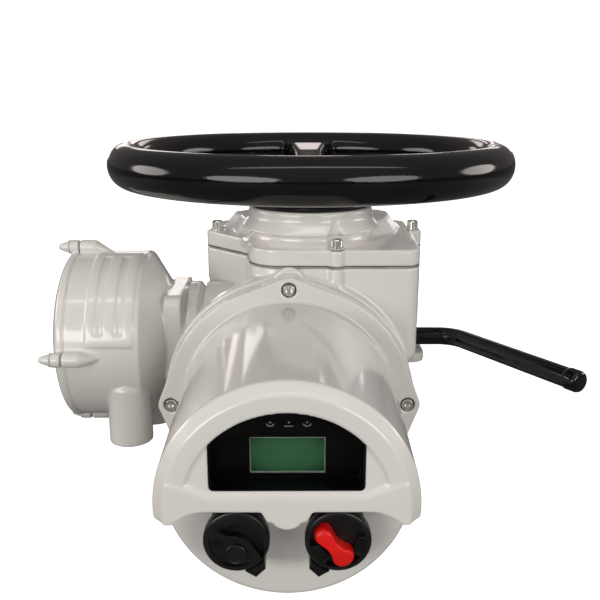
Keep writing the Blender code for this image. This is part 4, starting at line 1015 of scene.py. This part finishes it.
def motor():
    start = REAR_PAD + GAP
    end = start + MOTOR_LENGTH
    housing = solid(disc(57, start, start + 12), MOTOR)
    points = []
    pitch = 360 / 16
    for fin in range(16):
        for offset, radius in ((-0.32, 51.5), (-0.14, 56), (0.14, 56), (0.32, 51.5)):
            points.append(circle_place(radius, (fin + offset) * pitch)[:2])
    join(housing, solid(prism(points, start + 11, end), MOTOR))
    cut(housing, solid(disc(48.3, start + 18, end + 1), MOTOR))
    cut(housing, solid(disc(11, start - 1, start + 19, SMALL), MOTOR))
    finish_casting(housing, "motor_housing", 1.2, 3)
    cap = [(0, end + GAP), (55, end + GAP), (55, end + 8), (48, end + 14), (0, end + 16)]
    cap = solid(turned(rounded(cap, 2.5)), MOTOR)
    finish_piece(cap, "motor_cap_casting", "casing", "body_paint", ["motor_end_cover"])


# ---------- handwheel and lever


def handwheel():
    points = []
    for x, z in circle(1.0, 64):
        points.append((RIM_RADIUS + RIM_HALF_WIDTH * x, WHEEL_Z + RIM_HALF_HEIGHT * z))
    wheel = solid(turned(points, 256))
    # A spoke's sections: distance from the axis, half width, bottom and top
    sections = ((36, 14, 300, 322), (62, 14, 309, 330), (100, 16, 318, 338))
    sections += ((135, 22, 322, 343), (158, 35, 324, 345))
    spokes = []
    for turn in SPOKE_ANGLES:
        rings = []
        for reach, half, low, high in sections:
            rings.append([(reach, x, z) for x, z in rounded_rectangle(-half, half, low, high, 8)])
        spokes.append(solid(lofted(rings), Matrix.Rotation(math.radians(turn), 4, "Z")))
    join(wheel, *spokes)
    cut(wheel, solid(disc(38, 290, 350)))
    bottom = NECK_TOP + GAP
    hub = [(29.3, bottom), (53, bottom), (53, 306), (42, 316), (40, 330)]
    hub += [(22, 330), (22, 320), (29.3, 320)]
    join(wheel, solid(turned(rounded(hub, 1.5))))
    soften(wheel, 1.6, 8)
    finish_piece(wheel, "handwheel_casting", "handwheel", "black_gloss_paint", ["handwheel"], sharp=0)
    cap = [(0, 322), (21.7, 322), (21.7, 330 + GAP), (32, 330 + GAP), (32, 334), (26, 337), (0, 338)]
    cap = solid(turned(rounded(cap, 2.0)))
    finish_piece(cap, "hub_cap", "handwheel", "black_gloss_paint", ["handwheel_hub_cap"])


def lever():
    """The bent lever and its end button, in the lever's own frame."""
    bend, lean = math.radians(BEND_ANGLE), math.radians(LEVER_LEAN)
    path = [Vector((0, 0, depth)) for depth in (46 + GAP, 60, 80, LEVER_STRAIGHT - 10)]
    for i in range(25):
        a = bend * i / 24
        reach = BEND_RADIUS * (1 - math.cos(a))
        depth = LEVER_STRAIGHT + BEND_RADIUS * math.sin(a)
        path.append(Vector((-reach * math.cos(lean), reach * math.sin(lean), depth)))
    out = Vector((-math.sin(bend) * math.cos(lean), math.sin(bend) * math.sin(lean), math.cos(bend)))
    tip = path[-1] + out * LEVER_REACH
    path += [path[-1] + out * LEVER_REACH * t for t in (0.25, 0.5, 0.75)]
    rod = swept(path + [tip - out, tip], [ROD_RADIUS] * (len(path) + 1) + [ROD_RADIUS - 1], SMALL)
    finish_piece(solid(rod, LEVER), "lever_rod", "lever", "black_gloss_paint", ["declutch_lever"])
    stations = ((-9, 8.3), (-8.5, 8.7), (-7, 8.8), (0.5, 8.8), (2.2, 8.1), (3.1, 6.6), (3.5, 4.6))
    path = [tip + out * depth for depth, _ in stations]
    cap = solid(swept(path, [radius for _, radius in stations], SMALL), LEVER)
    cut(cap, solid(bar(tip - out * 13, tip + out * GAP, ROD_RADIUS + 0.1), LEVER))
    finish_piece(cap, "lever_end_cap", "lever", "black_gloss_paint", ["lever_cap"])


# ---------- studio


# Strips behind the object: angle from upright, width, distance from the barrel's axis, length, colour
STRIPS = (
    (-40, 0.34, 0.86, 0.60, (1.0, 0.95, 0.92)),
    (2, 0.40, 0.86, 0.50, (1.0, 0.88, 0.86)),
    (34, 0.16, 0.92, 0.50, (1.0, 0.95, 0.93)),
    (58, 0.12, 0.86, 0.60, (1.0, 0.93, 0.92)),
    (80, 0.20, 0.80, 0.60, (0.9, 0.83, 0.86)),
    (-64, 0.12, 0.86, 0.60, (1.0, 0.92, 0.90)),
    (-84, 0.22, 0.80, 0.60, (0.9, 0.82, 0.82)),
)
STRIP_RADIANCE = 1.7
# The room's brightness, from behind and below to before and above
ROOM_STOPS = (
    (0.0, (0.06, 0.055, 0.052)),
    (0.2, (0.14, 0.128, 0.122)),
    (0.5, (0.22, 0.205, 0.195)),
    (0.75, (0.28, 0.27, 0.26)),
    (1.0, (0.42, 0.41, 0.40)),
)
CAMERA_PLACE, CAMERA_TILT, CAMERA_TURN, CAMERA_LENS = (-0.01256, -0.69153, 0.39328), 74.967, -0.275, 46.41


def studio_floor():
    """A wide white table; the light that the object gets back from it is dimmer than what the camera sees."""
    bpy.ops.mesh.primitive_plane_add(size=40.0, location=(0, 2.0, 0))
    floor = bpy.context.object
    floor.name = "studio_floor"
    paint = Paint("studio_floor", (0.86, 0.86, 0.86), 0.7, Emission_Strength=0.9)
    paint.shader.inputs["Emission Color"].default_value = (1.0, 1.0, 1.0, 1.0)
    paint.colour(paint.noise(1.5), (0.3, (0.85, 0.85, 0.85)), (0.7, (0.88, 0.88, 0.88)))
    dim = paint.node("BsdfDiffuse", Color=(0.24, 0.24, 0.24, 1.0))
    rays = paint.node("LightPath")
    mix = paint.node("MixShader")
    paint.link(rays.outputs["Is Camera Ray"], mix.inputs["Fac"])
    paint.link(dim.outputs["BSDF"], mix.inputs[1])
    paint.link(paint.shader.outputs["BSDF"], mix.inputs[2])
    paint.link(mix.outputs["Shader"], paint.tree.nodes["Material Output"].inputs["Surface"])
    floor.data.materials.append(paint.material)


def studio_room():
    """A room that is bright before and above the object and dim behind it; the camera sees it white."""
    world = bpy.data.worlds.new("studio")
    bpy.context.scene.world = world
    world.use_nodes = True
    tree = world.node_tree
    direction = tree.nodes.new("ShaderNodeTexCoord")
    towards = tree.nodes.new("ShaderNodeVectorMath")
    towards.operation = "DOT_PRODUCT"
    towards.inputs[1].default_value = (0.0, -0.6, 0.8)
    tree.links.new(direction.outputs["Generated"], towards.inputs[0])
    spread = tree.nodes.new("ShaderNodeMapRange")
    spread.inputs["From Min"].default_value = -1.0
    tree.links.new(towards.outputs["Value"], spread.inputs["Value"])
    room = tree.nodes.new("ShaderNodeValToRGB")
    fill_ramp(room, ROOM_STOPS)
    tree.links.new(spread.outputs["Result"], room.inputs["Fac"])
    rays = tree.nodes.new("ShaderNodeLightPath")
    seen = tree.nodes.new("ShaderNodeMix")
    seen.data_type = "RGBA"
    tree.links.new(rays.outputs["Is Camera Ray"], seen.inputs["Factor"])
    tree.links.new(room.outputs["Color"], seen.inputs["A"])
    seen.inputs["B"].default_value = (1.0, 1.0, 1.0, 1.0)
    tree.links.new(seen.outputs["Result"], tree.nodes["Background"].inputs["Color"])


def panel(name, place, target, size, radiance, colour, roll=0.0):
    """An oval soft light out of the camera's sight, as strong as a rectangle of this size and radiance."""
    light = bpy.data.lights.new(name, "AREA")
    light.shape = "ELLIPSE"
    light.size, light.size_y = size
    light.energy = radiance * math.pi * size[0] * size[1]
    light.color = colour
    lamp = bpy.data.objects.new(name, light)
    lamp.location = place
    aim = (Vector(target) - Vector(place)).to_track_quat("-Z", "Y").to_matrix().to_4x4()
    lamp.rotation_euler = (aim @ Matrix.Rotation(math.radians(roll), 4, "Z")).to_euler()
    lamp.visible_camera = False
    bpy.context.scene.collection.objects.link(lamp)


def studio():
    """Soft lights before the object, and strips behind it that show as bands along the barrel."""
    studio_floor()
    studio_room()
    warm, rosy = (1.0, 0.985, 0.955), (1.0, 0.93, 0.90)
    panel("front_left", (-1.2, -1.7, 0.55), (0, 0, 0.16), (1.5, 0.7), 4.1, warm)
    panel("front_right", (1.2, -1.7, 0.6), (0, 0, 0.16), (1.5, 0.7), 3.4, warm)
    panel("side_left", (-1.7, 0.1, 0.6), (0, 0, 0.24), (0.9, 0.6), 3.6, rosy)
    panel("side_right", (1.7, 0.2, 0.6), (0, 0, 0.24), (0.9, 0.6), 3.6, rosy)
    panel("overhead", (0.05, -0.9, 1.7), (0, 0, 0.2), (2.6, 0.16), 3.2, rosy)
    for number, (angle, width, reach, length, colour) in enumerate(STRIPS, 1):
        a = math.radians(angle)
        x, z = cover_middle.x * MM + reach * math.sin(a), 0.22 + reach * math.cos(a)
        panel(f"strip_{number}", (x, 2.2, z), (x, 0, z), (width, length), STRIP_RADIANCE, colour, angle)


def camera():
    data = bpy.data.cameras.new("camera")
    data.sensor_width = 36
    data.lens = CAMERA_LENS
    viewer = bpy.data.objects.new("camera", data)
    viewer.location = CAMERA_PLACE
    viewer.rotation_euler = (math.radians(CAMERA_TILT), 0, math.radians(CAMERA_TURN))
    bpy.context.scene.collection.objects.link(viewer)
    bpy.context.scene.camera = viewer


bpy.context.scene.view_settings.view_transform = "Standard"
finish_nodes()
base_flange()
gear_case()
gasket()
top_cover()
screws()
front_cover()
display()
signs()
lock_ring("selector_ring_moulding", "selector_lock_ring", -1)
lock_ring("control_ring_moulding", "control_lock_ring", 1)
selector_knob()
control_knob()
terminal_housing()
terminal_cover()
motor()
handwheel()
lever()
studio()
camera()
